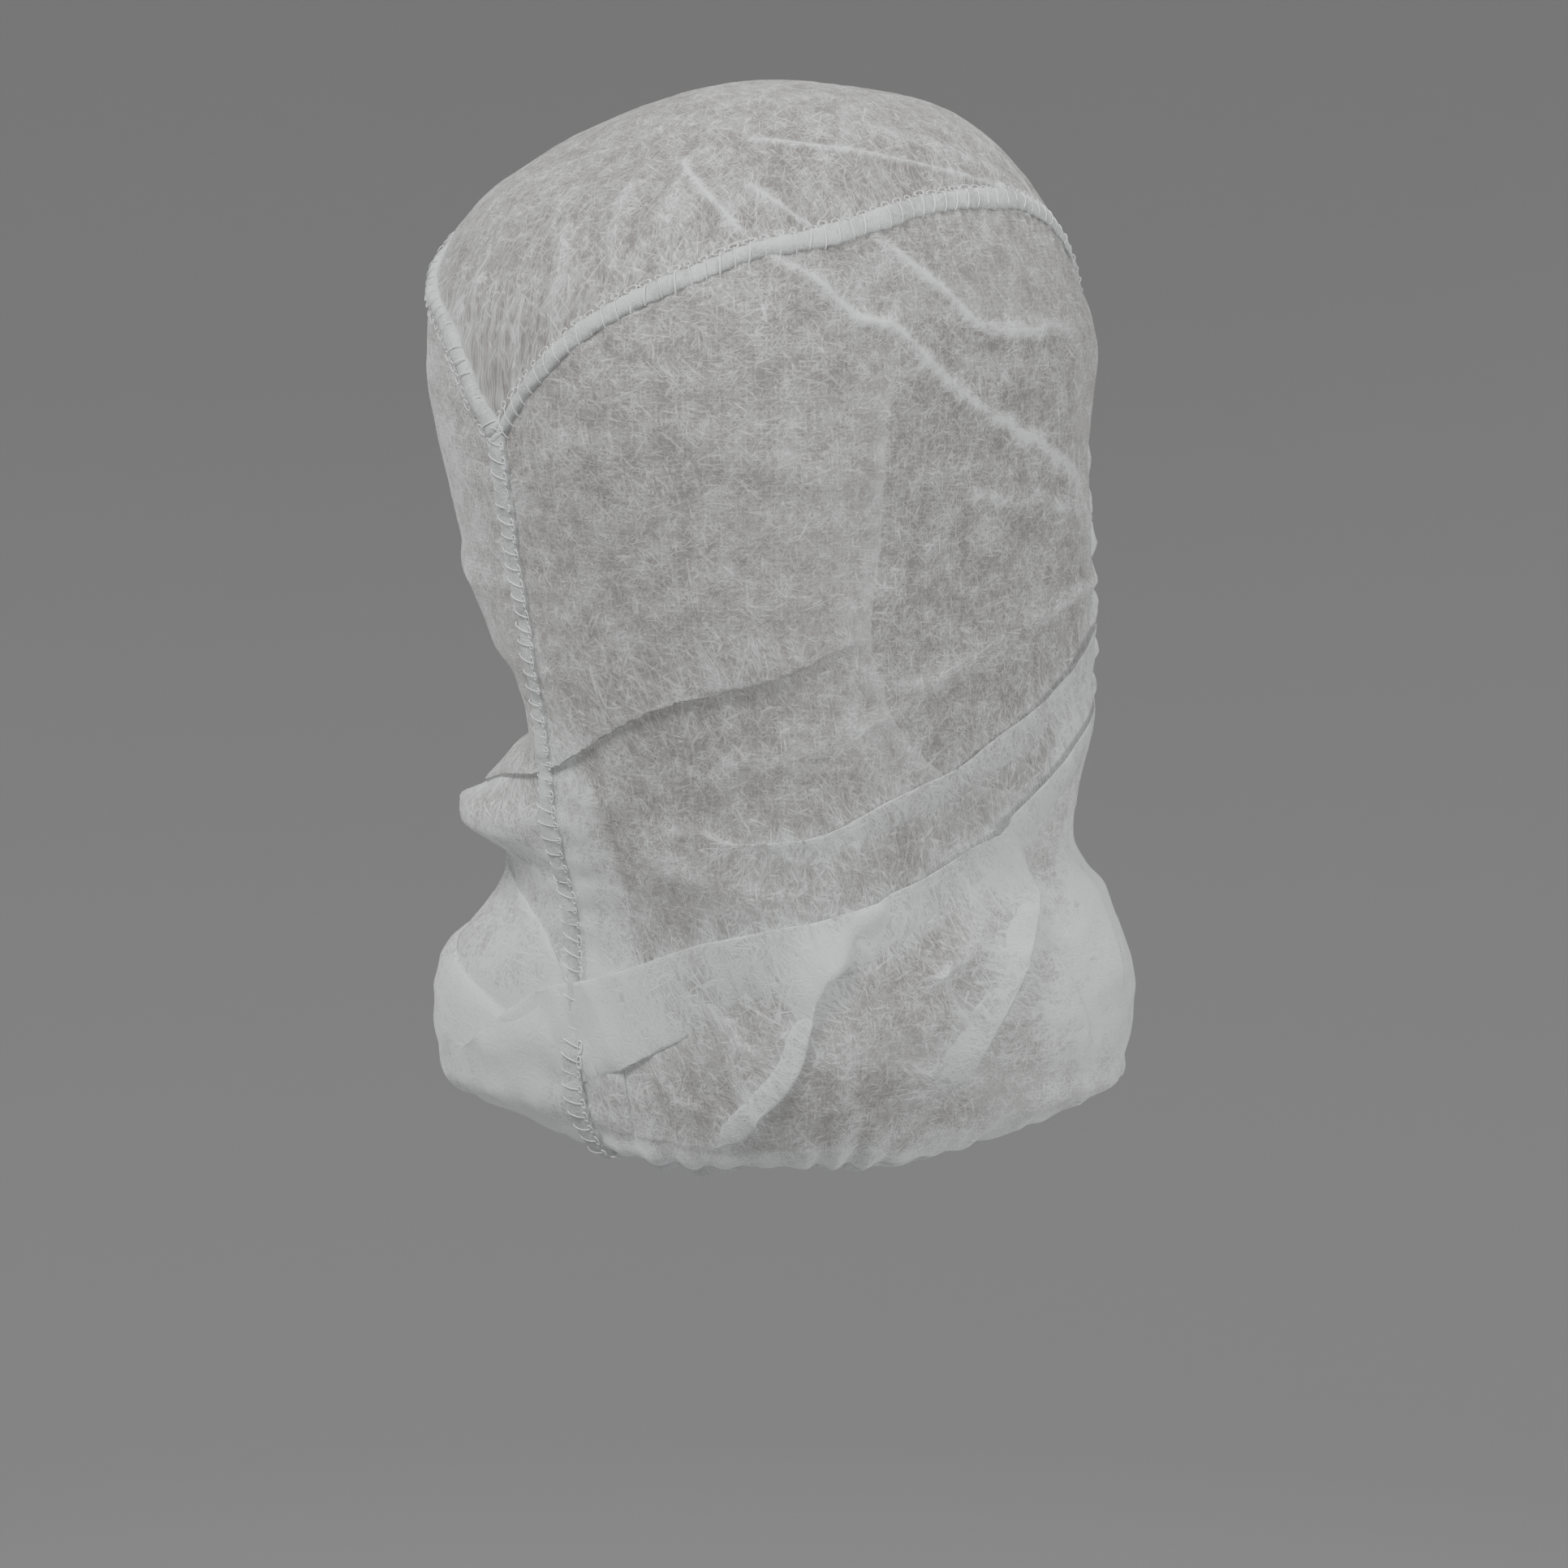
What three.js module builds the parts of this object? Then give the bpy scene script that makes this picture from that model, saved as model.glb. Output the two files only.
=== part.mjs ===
import * as THREE from "three";

// Main sizes in millimetres. +Z is up, the face looks along -Y, the wearer's right is -X.
const HOOD_HEIGHT = 302;
const HALF_WIDTH = 82;
const HALF_DEPTH = 97;
const CLOTH_WALL = 1.2;
const PIECE_GAP = 0.3;
const SEAM_WIDTH = 5.2;
const SEAM_HEIGHT = 1.9;
const SEAM_CLEARANCE = 0.6;
const NECK_CORD_RADIUS = 2.1;
const FACE_CORD_RADIUS = 1.9;
const CORD_CLEARANCE = 0.5;
const FACE_HALF_HEIGHT = 71;
const FACE_HALF_ANGLE = 30;
const GATHER_DEPTH = 2.0;
const GATHER_REACH = 15;
const NECK_GATHERS = 16;
const FACE_GATHERS = 16;
const GUSSET_TIP_SHARE = 0.03;

// Cross-sections from the crown to the neck edge. "down" is a share of HOOD_HEIGHT.
// "right" and "left" are half widths as shares of HALF_WIDTH. "front" and "back" are
// half depths as shares of HALF_DEPTH. "square" is the exponent of the rounded outline.
// "puffBack" (back left) and "puffFront" (front right) are shares of HALF_WIDTH.
const SECTIONS = [
  { down: 0.000, right: 0.00, left: 0.00, front: 0.00, back: 0.00, square: 2.0, puffBack: 0.00, puffFront: 0.00 },
  { down: 0.010, right: 0.34, left: 0.33, front: 0.33, back: 0.29, square: 2.0, puffBack: -0.09, puffFront: 0.00 },
  { down: 0.026, right: 0.52, left: 0.52, front: 0.51, back: 0.43, square: 2.1, puffBack: -0.06, puffFront: 0.01 },
  { down: 0.060, right: 0.70, left: 0.69, front: 0.64, back: 0.59, square: 2.2, puffBack: 0.02, puffFront: 0.03 },
  { down: 0.113, right: 0.84, left: 0.85, front: 0.78, back: 0.80, square: 2.35, puffBack: 0.06, puffFront: 0.01 },
  { down: 0.182, right: 0.94, left: 0.95, front: 0.87, back: 0.94, square: 2.45, puffBack: 0.05, puffFront: 0.01 },
  { down: 0.258, right: 0.99, left: 1.00, front: 0.94, back: 1.00, square: 2.5, puffBack: 0.01, puffFront: 0.01 },
  { down: 0.331, right: 1.00, left: 1.00, front: 0.93, back: 1.00, square: 2.5, puffBack: -0.02, puffFront: -0.01 },
  { down: 0.414, right: 0.99, left: 0.95, front: 0.94, back: 0.96, square: 2.45, puffBack: -0.04, puffFront: 0.00 },
  { down: 0.490, right: 0.98, left: 0.85, front: 0.96, back: 0.92, square: 2.4, puffBack: -0.04, puffFront: 0.01 },
  { down: 0.563, right: 0.95, left: 0.70, front: 0.96, back: 0.89, square: 2.2, puffBack: -0.14, puffFront: 0.05 },
  { down: 0.623, right: 0.94, left: 0.66, front: 0.95, back: 0.84, square: 2.15, puffBack: -0.09, puffFront: 0.08 },
  { down: 0.685, right: 0.93, left: 0.70, front: 0.92, back: 0.79, square: 2.2, puffBack: 0.23, puffFront: 0.05 },
  { down: 0.735, right: 0.93, left: 0.73, front: 0.89, back: 0.75, square: 2.3, puffBack: 0.10, puffFront: 0.04 },
  { down: 0.788, right: 0.96, left: 0.80, front: 0.93, back: 0.71, square: 2.3, puffBack: 0.17, puffFront: 0.10 },
  { down: 0.848, right: 0.98, left: 0.90, front: 0.97, back: 0.70, square: 2.3, puffBack: 0.30, puffFront: 0.16 },
  { down: 0.901, right: 0.97, left: 0.93, front: 0.97, back: 0.71, square: 2.3, puffBack: 0.31, puffFront: 0.19 },
  { down: 0.937, right: 0.93, left: 0.91, front: 0.92, back: 0.70, square: 2.3, puffBack: 0.31, puffFront: 0.22 },
  { down: 0.964, right: 0.89, left: 0.88, front: 0.86, back: 0.68, square: 2.25, puffBack: 0.31, puffFront: 0.28 },
  { down: 0.984, right: 0.85, left: 0.84, front: 0.79, back: 0.66, square: 2.2, puffBack: 0.20, puffFront: 0.20 },
  { down: 0.997, right: 0.81, left: 0.80, front: 0.75, back: 0.65, square: 2.1, puffBack: 0.09, puffFront: 0.12 },
  { down: 1.002, right: 0.79, left: 0.77, front: 0.72, back: 0.63, square: 2.0, puffBack: 0.02, puffFront: 0.04 },
  { down: 1.000, right: 0.75, left: 0.73, front: 0.67, back: 0.60, square: 2.0, puffBack: 0.00, puffFront: 0.00 },
];
const PUFF_BACK_ANGLE = -40;
const PUFF_FRONT_ANGLE = 140;
const PUFF_SPREAD = 30;
const LAST_SECTION = SECTIONS.length - 1;

// Steps of the faceted pieces. The seams share the rows of the panels beside them, and
// the first and last steps are narrow, so that the cloth is true to form under a seam.
const PANEL_ROWS = 28;
const CHIN_SEAM_ROWS = 10;
const PANEL_COLUMNS = 32;
const GUSSET_COLUMNS = 11;
const CORD_SIDES = 6;
const EDGE_SHARE = 0.014;
const GUSSET_EDGE_SHARE = 0.03;

// The right-hand gusset seam from its back tip to the forehead. "around" is in degrees
// from the centre back, "down" is a share of HOOD_HEIGHT. The left seam mirrors it.
const GUSSET_SEAM = [
  { around: 0, down: 0.318 },
  { around: 13, down: 0.241 },
  { around: 23, down: 0.203 },
  { around: 34, down: 0.174 },
  { around: 47, down: 0.147 },
  { around: 60, down: 0.135 },
  { around: 74, down: 0.121 },
  { around: 91, down: 0.111 },
  { around: 109, down: 0.109 },
  { around: 125, down: 0.115 },
  { around: 141, down: 0.150 },
  { around: 155, down: 0.245 },
];

// The edge of the face opening from the forehead corner of the gusset to the chin.
const FACE_EDGE = [
  { around: 155, down: 0.245 },
  { around: 151, down: 0.340 },
  { around: 150, down: 0.450 },
  { around: 151, down: 0.575 },
  { around: 157, down: 0.665 },
  { around: 168, down: 0.712 },
  { around: 180, down: 0.722 },
];
const FACE_TOP_DOWN = 0.232;
const FACE_MID_DOWN = 0.478;

// Folds and creases as low ridges along a path of places, each given by the degrees around
// and the share of HOOD_HEIGHT down. "width" and "lift" are millimetres, and a lift below
// zero is a valley. "lean" above zero makes the lower side of the ridge the steep one.
const FOLDS = [
  {
    name: "cheek band",
    path: [[130, 0.52], [103, 0.60], [76, 0.656], [58, 0.690], [38, 0.678]],
    width: 8, lift: 4.0, lean: 0.3,
  },
  {
    name: "nape band",
    path: [[133, 0.60], [114, 0.692], [82, 0.757], [45, 0.800], [14, 0.858], [-16, 0.915]],
    width: 11, lift: 6.0, lean: -0.4,
  },
  {
    name: "neck side fold",
    path: [[120, 0.604], [114, 0.678], [102, 0.785], [90, 0.893]],
    width: 8, lift: 3.5, lean: 0,
  },
  {
    name: "neck pleat",
    path: [[71, 0.805], [60, 0.820], [52, 0.902], [35, 0.982]],
    width: 6, lift: 3.5, lean: 0,
  },
  {
    name: "crumple by the pleat",
    path: [[81, 0.758], [86, 0.800], [84, 0.849]],
    width: 6, lift: 2.5, lean: 0,
  },
  {
    name: "hem crease at the back",
    path: [[14, 0.873], [15, 0.930], [14, 0.985]],
    width: 5, lift: -2.5, lean: 0,
  },
  {
    name: "slouch valley",
    path: [[-35, 0.660], [0, 0.630], [28, 0.561], [43, 0.540], [69, 0.503]],
    width: 10, lift: -3, lean: 0,
  },
  {
    name: "temple ridge",
    path: [[73, 0.134], [96, 0.220], [122, 0.226]],
    width: 5, lift: 2.0, lean: 0,
  },
  {
    name: "long temple ridge",
    path: [[49, 0.146], [67, 0.211], [93, 0.289], [134, 0.376]],
    width: 5, lift: 2.4, lean: 0,
  },
  {
    name: "ear ridge",
    path: [[133, 0.410], [104, 0.381], [85, 0.367]],
    width: 6, lift: 1.6, lean: 0,
  },
  {
    name: "short crown ridge",
    path: [[32, 0.084], [41, 0.115], [47, 0.146]],
    width: 5, lift: 1.5, lean: 0,
  },
  {
    name: "second crown ridge",
    path: [[50, 0.098], [54, 0.115], [58, 0.133]],
    width: 5, lift: 1.5, lean: 0,
  },
  {
    name: "long crown ridge",
    path: [[39, 0.049], [83, 0.071], [125, 0.100]],
    width: 6, lift: 1.5, lean: 0,
  },
  {
    name: "crown crinkle",
    path: [[7, 0.121], [11, 0.170], [12, 0.212]],
    width: 5, lift: 1.2, lean: 0,
  },
  {
    name: "far nape wedge",
    path: [[-34, 0.745], [-15, 0.782], [-2, 0.828]],
    width: 8, lift: -4.0, lean: 0,
  },
  {
    name: "far nape valley",
    path: [[-48, 0.815], [-22, 0.843], [-4, 0.835]],
    width: 8, lift: -3.0, lean: 0,
  },
  {
    name: "front lobe valley",
    path: [[116, 0.780], [118, 0.836], [122, 0.910]],
    width: 7, lift: -3.0, lean: 0,
  },
  {
    name: "front lobe crease",
    path: [[105, 0.810], [108, 0.860], [112, 0.909]],
    width: 6, lift: -2.0, lean: 0,
  },
  {
    name: "far back ridge",
    path: [[-10, 0.470], [-45, 0.435], [-85, 0.420]],
    width: 7, lift: 1.8, lean: 0,
  },
  {
    name: "lower far back ridge",
    path: [[-10, 0.535], [-45, 0.505], [-85, 0.500]],
    width: 7, lift: 1.8, lean: 0,
  },
  {
    name: "left nape band",
    path: [[-135, 0.60], [-105, 0.690], [-62, 0.765]],
    width: 11, lift: 5.0, lean: -0.4,
  },
  {
    name: "left cheek band",
    path: [[-132, 0.52], [-105, 0.585], [-72, 0.610]],
    width: 9, lift: 3.0, lean: 0.3,
  },
  {
    name: "left temple ridge",
    path: [[-55, 0.150], [-95, 0.250], [-132, 0.360]],
    width: 6, lift: 2.2, lean: 0,
  },
  {
    name: "left lobe valley",
    path: [[-100, 0.790], [-108, 0.850], [-112, 0.915]],
    width: 8, lift: -3.0, lean: 0,
  },
  {
    name: "right chin fold",
    path: [[172, 0.760], [160, 0.820], [150, 0.900]],
    width: 8, lift: 3.0, lean: 0,
  },
  {
    name: "left chin fold",
    path: [[-170, 0.765], [-158, 0.820], [-146, 0.890]],
    width: 8, lift: 3.0, lean: 0,
  },
];

const toRadians = THREE.MathUtils.degToRad;

function blendRows(before, start, end, after, share) {
  const linear = end - before;
  const square = 2 * before - 5 * start + 4 * end - after;
  const cube = 3 * start - before - 3 * end + after;
  return start + 0.5 * share * (linear + share * (square + share * cube));
}

function mirroredRow(row) {
  return { ...row, right: -row.right, left: -row.left, front: -row.front, back: -row.back };
}

// The value of one column of the section table at a running row number.
function sectionValue(column, row) {
  const held = Math.min(Math.max(row, 0), LAST_SECTION);
  const start = Math.min(Math.floor(held), LAST_SECTION - 1);
  const before = start > 0 ? SECTIONS[start - 1] : mirroredRow(SECTIONS[1]);
  const after = SECTIONS[Math.min(start + 2, LAST_SECTION)];
  const value = blendRows(
    before[column], SECTIONS[start][column], SECTIONS[start + 1][column], after[column], held - start
  );
  return value;
}

// The running row number at which the hood is a given share down from the crown.
function rowAtDown(down) {
  let low = 0;
  let high = LAST_SECTION - 1;
  for (let step = 0; step < 24; step += 1) {
    const middle = (low + high) / 2;
    if (sectionValue("down", middle) < down) low = middle;
    else high = middle;
  }
  return (low + high) / 2;
}

function angleBetween(first, second) {
  return THREE.MathUtils.euclideanModulo(first - second + 180, 360) - 180;
}

function bell(distance, width) {
  return Math.exp(-((distance / width) ** 2));
}

// The smooth form of the hood: the point at an angle around and a running row number.
function smoothPoint(around, row) {
  const sine = Math.sin(toRadians(around));
  const cosine = Math.cos(toRadians(around));
  const halfWidth = HALF_WIDTH * sectionValue(sine >= 0 ? "right" : "left", row);
  const halfDepth = HALF_DEPTH * sectionValue(cosine >= 0 ? "back" : "front", row);
  const square = sectionValue("square", row);
  const across = Math.abs(sine / Math.max(halfWidth, 0.001)) ** square;
  const along = Math.abs(cosine / Math.max(halfDepth, 0.001)) ** square;
  let reach = (across + along) ** (-1 / square);
  reach += HALF_WIDTH * sectionValue("puffBack", row) * bell(angleBetween(around, PUFF_BACK_ANGLE), PUFF_SPREAD);
  reach += HALF_WIDTH * sectionValue("puffFront", row) * bell(angleBetween(around, PUFF_FRONT_ANGLE), PUFF_SPREAD);
  const height = -HOOD_HEIGHT * sectionValue("down", row);
  return new THREE.Vector3(-reach * sine, reach * cosine, height);
}

// Distance in millimetres between two places given by angle and share down.
function flatOffset(around, down, place) {
  const across = toRadians(angleBetween(around, place.around)) * HALF_WIDTH;
  return new THREE.Vector2(across, (down - place.down) * HOOD_HEIGHT);
}

// Shares down are stretched to about the same scale as degrees while a path is smoothed.
const FOLD_DOWN_SCALE = 200;
const FOLD_STEPS = 14;
const FOLD_PATHS = FOLDS.map((fold) => {
  const knots = fold.path.map(([around, down]) => new THREE.Vector3(around, down * FOLD_DOWN_SCALE, 0));
  const curve = new THREE.CatmullRomCurve3(knots, false, "centripetal");
  return curve.getSpacedPoints(FOLD_STEPS).map((point) => ({ around: point.x, down: point.y / FOLD_DOWN_SCALE }));
});

// The lift of one fold at a place: the nearest part of its path sets height and side.
function foldLift(index, around, down) {
  const fold = FOLDS[index];
  const path = FOLD_PATHS[index];
  let nearest = Infinity;
  let share = 0;
  let side = 0;
  for (let step = 0; step < FOLD_STEPS; step += 1) {
    const start = flatOffset(around, down, path[step]);
    const run = start.clone().sub(flatOffset(around, down, path[step + 1]));
    const along = THREE.MathUtils.clamp(start.dot(run) / Math.max(run.lengthSq(), 0.001), 0, 1);
    const offset = start.clone().addScaledVector(run, -along);
    const distance = offset.length();
    if (distance < nearest) {
      nearest = distance;
      share = (step + along) / FOLD_STEPS;
      side = Math.sign(offset.y);
    }
  }
  const width = fold.width * (side > 0 ? 1 - fold.lean : 1 + fold.lean);
  if (nearest > 3 * width) return 0;
  const fade = Math.sin(Math.PI * THREE.MathUtils.clamp(share, 0.02, 0.98)) ** 0.6;
  return fold.lift * fade * bell(nearest, width);
}

function gathers(around, down, row) {
  const neckDistance = Math.max(LAST_SECTION - row, 0) * 0.035 * HOOD_HEIGHT;
  const neck = Math.cos(toRadians(around) * Math.round(NECK_GATHERS)) * Math.exp(-neckDistance / GATHER_REACH);
  const across = (180 - Math.abs(around)) / FACE_HALF_ANGLE;
  const along = (down - FACE_MID_DOWN) * HOOD_HEIGHT / FACE_HALF_HEIGHT;
  const rim = Math.abs(Math.hypot(across, along) - 1) * FACE_HALF_HEIGHT;
  const turn = Math.atan2(along, across * Math.sign(around));
  const face = Math.cos(turn * Math.round(FACE_GATHERS)) * Math.exp(-rim / GATHER_REACH);
  return GATHER_DEPTH * 0.5 * (neck + face);
}

// Places on the hood are held as flat disc coordinates: the crown is the middle of the
// disc, the row number is the distance from it and the angle is the direction.
function discPlace(around, row) {
  return new THREE.Vector2(row * Math.sin(toRadians(around)), row * Math.cos(toRadians(around)));
}

function hoodPoint(place) {
  const around = THREE.MathUtils.radToDeg(Math.atan2(place.x, place.y));
  const row = place.length();
  const down = sectionValue("down", row);
  const point = smoothPoint(around, row);
  let lift = gathers(around, down, row);
  for (let index = 0; index < FOLDS.length; index += 1) lift += foldLift(index, around, down);
  return point.addScaledVector(smoothNormal(place), lift);
}

function normalFrom(pointAt, place) {
  const step = 0.03;
  const right = pointAt(new THREE.Vector2(place.x + step, place.y));
  const left = pointAt(new THREE.Vector2(place.x - step, place.y));
  const back = pointAt(new THREE.Vector2(place.x, place.y + step));
  const front = pointAt(new THREE.Vector2(place.x, place.y - step));
  return back.sub(front).cross(right.sub(left)).normalize();
}

function smoothNormal(place) {
  const pointAt = (spot) => {
    const around = THREE.MathUtils.radToDeg(Math.atan2(spot.x, spot.y));
    return smoothPoint(around, spot.length());
  };
  return normalFrom(pointAt, place);
}

function hoodNormal(place) {
  return normalFrom(hoodPoint, place);
}

// A smooth curve through a table of places, as running row numbers and angles.
function tableCurve(table) {
  const knots = table.map((entry) => new THREE.Vector3(entry.around, rowAtDown(entry.down), 0));
  return new THREE.CatmullRomCurve3(knots, false, "centripetal");
}

const gussetCurve = tableCurve(GUSSET_SEAM);
const faceCurve = tableCurve(FACE_EDGE);
const TIP_ROW = rowAtDown(GUSSET_SEAM[0].down);
const CHIN_ROW = rowAtDown(FACE_EDGE[FACE_EDGE.length - 1].down);
const FACE_TOP_ROW = rowAtDown(FACE_TOP_DOWN);

// A closed slab between two sheets that follow the hood at two heights off its middle.
// "heights" gives the lower and the upper height at each column.
function slabGeometry(places, heights) {
  const rows = places.length;
  const columns = places[0].length;
  const positions = [];
  const lower = (row, column) => row * columns + column;
  const upper = (row, column) => rows * columns + row * columns + column;
  const normals = places.map((line) => line.map(hoodNormal));
  for (const level of [0, 1]) {
    for (let row = 0; row < rows; row += 1) {
      for (let column = 0; column < columns; column += 1) {
        const point = hoodPoint(places[row][column]);
        point.addScaledVector(normals[row][column], heights(column, columns)[level]);
        positions.push(point.x, point.y, point.z);
      }
    }
  }
  const faces = [];
  const quad = (a, b, c, d) => faces.push(a, b, c, a, c, d);
  for (let row = 0; row < rows - 1; row += 1) {
    for (let column = 0; column < columns - 1; column += 1) {
      quad(upper(row, column), upper(row, column + 1), upper(row + 1, column + 1), upper(row + 1, column));
      quad(lower(row, column), lower(row + 1, column), lower(row + 1, column + 1), lower(row, column + 1));
    }
  }
  for (let column = 0; column < columns - 1; column += 1) {
    const last = rows - 1;
    quad(upper(0, column), lower(0, column), lower(0, column + 1), upper(0, column + 1));
    quad(upper(last, column + 1), lower(last, column + 1), lower(last, column), upper(last, column));
  }
  for (let row = 0; row < rows - 1; row += 1) {
    const last = columns - 1;
    quad(upper(row + 1, 0), lower(row + 1, 0), lower(row, 0), upper(row, 0));
    quad(upper(row, last), lower(row, last), lower(row + 1, last), upper(row + 1, last));
  }
  return closedGeometry(positions, faces);
}

// Turns the faces outward when the slab was laid out the other way round.
function closedGeometry(positions, faces) {
  let volume = 0;
  const corner = (index) => new THREE.Vector3().fromArray(positions, index * 3);
  for (let face = 0; face < faces.length; face += 3) {
    const first = corner(faces[face]);
    volume += first.dot(corner(faces[face + 1]).cross(corner(faces[face + 2])));
  }
  const turned = volume > 0 ? faces : faces.slice().reverse();
  const geometry = new THREE.BufferGeometry();
  geometry.setAttribute("position", new THREE.Float32BufferAttribute(positions, 3));
  geometry.setIndex(turned);
  geometry.computeVertexNormals();
  return geometry;
}

const clothHeights = () => [-CLOTH_WALL / 2, CLOTH_WALL / 2];

// The share along a row of steps whose first and last are narrow.
function stepShare(step, steps, edgeShare) {
  if (step === 0) return 0;
  if (step === steps) return 1;
  return THREE.MathUtils.lerp(edgeShare, 1 - edgeShare, (step - 1) / (steps - 2));
}

// The four edges of a side panel as angle and row number, kept clear of its neighbours.
function panelEdges(clearance) {
  const angleGap = THREE.MathUtils.radToDeg(clearance / HALF_WIDTH);
  const rowGap = clearance / (HOOD_HEIGHT * 0.06);
  const chinShare = stepShare(CHIN_SEAM_ROWS, PANEL_ROWS, EDGE_SHARE);
  const bottom = (across) => new THREE.Vector2(angleGap + (180 - 2 * angleGap) * across, LAST_SECTION);
  const top = (across) => {
    const point = gussetCurve.getPointAt(across);
    return new THREE.Vector2(Math.max(point.x, angleGap), point.y + rowGap);
  };
  const back = (up) => new THREE.Vector2(angleGap, THREE.MathUtils.lerp(LAST_SECTION, top(0).y, up));
  const front = (up) => {
    if (up < chinShare) {
      return new THREE.Vector2(180 - angleGap, THREE.MathUtils.lerp(LAST_SECTION, CHIN_ROW, up / chinShare));
    }
    const point = faceCurve.getPointAt(1 - (up - chinShare) / (1 - chinShare));
    const drop = up === 1 ? rowGap : 0;
    return new THREE.Vector2(Math.min(point.x, 180 - angleGap), point.y + drop);
  };
  return { bottom, top, back, front };
}

// A side panel as a four-sided patch, blended from its edges. "side" is 1 or -1.
function panelPlaces(side, columns, rows) {
  const edges = panelEdges(PIECE_GAP);
  const places = [];
  for (let row = 0; row <= rows; row += 1) {
    const up = stepShare(row, rows, EDGE_SHARE);
    const line = [];
    for (let column = 0; column <= columns; column += 1) {
      const across = stepShare(column, columns, EDGE_SHARE);
      const spot = edges.bottom(across).multiplyScalar(1 - up);
      spot.addScaledVector(edges.top(across), up);
      spot.addScaledVector(edges.back(up), 1 - across);
      spot.addScaledVector(edges.front(up), across);
      spot.addScaledVector(edges.bottom(0), -(1 - across) * (1 - up));
      spot.addScaledVector(edges.bottom(1), -across * (1 - up));
      spot.addScaledVector(edges.top(0), -(1 - across) * up);
      spot.addScaledVector(edges.top(1), -across * up);
      line.push(discPlace(side * spot.x, spot.y));
    }
    places.push(line);
  }
  return places;
}

// The gusset between the two seams, from the forehead edge to its narrow back tip.
function gussetPlaces(columns, rows) {
  const places = [];
  for (let row = 1; row <= rows; row += 1) {
    const along = Math.max(stepShare(row, rows, EDGE_SHARE), GUSSET_TIP_SHARE);
    const seam = gussetCurve.getPointAt(along);
    const right = discPlace(seam.x, seam.y);
    const halfSpan = smoothPoint(seam.x, seam.y).distanceTo(smoothPoint(-seam.x, seam.y)) / 2;
    const inset = 1 - PIECE_GAP / halfSpan;
    const line = [];
    for (let column = 0; column <= columns; column += 1) {
      const across = (2 * stepShare(column, columns, GUSSET_EDGE_SHARE) - 1) * inset;
      const bulge = (1 - across * across) * (FACE_TOP_ROW + seamMiddleRow(seam)) * (along === 1 ? 1 : 0);
      line.push(new THREE.Vector2(right.x * across, right.y - bulge));
    }
    places.push(line);
  }
  return places;
}

function seamMiddleRow(seam) {
  return seam.y * Math.cos(toRadians(seam.x));
}

// A seam ridge over a line of places: rounded on top, flat a small way off the cloth.
function seamGeometry(line) {
  const columns = 3;
  const places = line.map((place, index) => {
    const before = line[Math.max(index - 1, 0)];
    const after = line[Math.min(index + 1, line.length - 1)];
    const run = after.clone().sub(before).normalize();
    const sideways = new THREE.Vector2(-run.y, run.x);
    const probe = place.clone().addScaledVector(sideways, 0.05);
    const scale = 0.05 / Math.max(hoodPoint(probe).distanceTo(hoodPoint(place)), 0.001);
    const cross = [];
    for (let column = 0; column <= columns; column += 1) {
      const shift = (column / columns - 0.5) * SEAM_WIDTH * scale;
      cross.push(place.clone().addScaledVector(sideways, shift));
    }
    return cross;
  });
  const foot = CLOTH_WALL / 2 + SEAM_CLEARANCE;
  const heights = (column, count) => {
    const round = Math.sin(Math.PI * (column + 0.5) / count);
    return [foot, foot + SEAM_HEIGHT * round];
  };
  return slabGeometry(places, heights);
}

// A gusset seam on the same steps as the panel and the gusset beside it, short of its ends.
function gussetSeamLine(side, steps) {
  const line = [];
  for (let step = 1; step < steps; step += 1) {
    const along = Math.max(stepShare(step, steps, EDGE_SHARE), GUSSET_TIP_SHARE);
    const point = gussetCurve.getPointAt(along);
    line.push(discPlace(side * point.x, point.y));
  }
  return line;
}

// The back seam, on the same rows as the panels beside it.
function backSeamLine() {
  const line = [];
  for (let step = 1; step < PANEL_ROWS; step += 1) {
    const up = stepShare(step, PANEL_ROWS, EDGE_SHARE);
    line.push(discPlace(0, THREE.MathUtils.lerp(LAST_SECTION, TIP_ROW, up)));
  }
  return line;
}

// The chin seam, on the rows of the panels below the face opening.
function chinSeamLine() {
  const line = [];
  const chinShare = stepShare(CHIN_SEAM_ROWS, PANEL_ROWS, EDGE_SHARE);
  for (let step = 1; step < CHIN_SEAM_ROWS; step += 1) {
    const up = stepShare(step, PANEL_ROWS, EDGE_SHARE) / chinShare;
    line.push(discPlace(180, THREE.MathUtils.lerp(LAST_SECTION, CHIN_ROW, up)));
  }
  return line;
}

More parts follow.
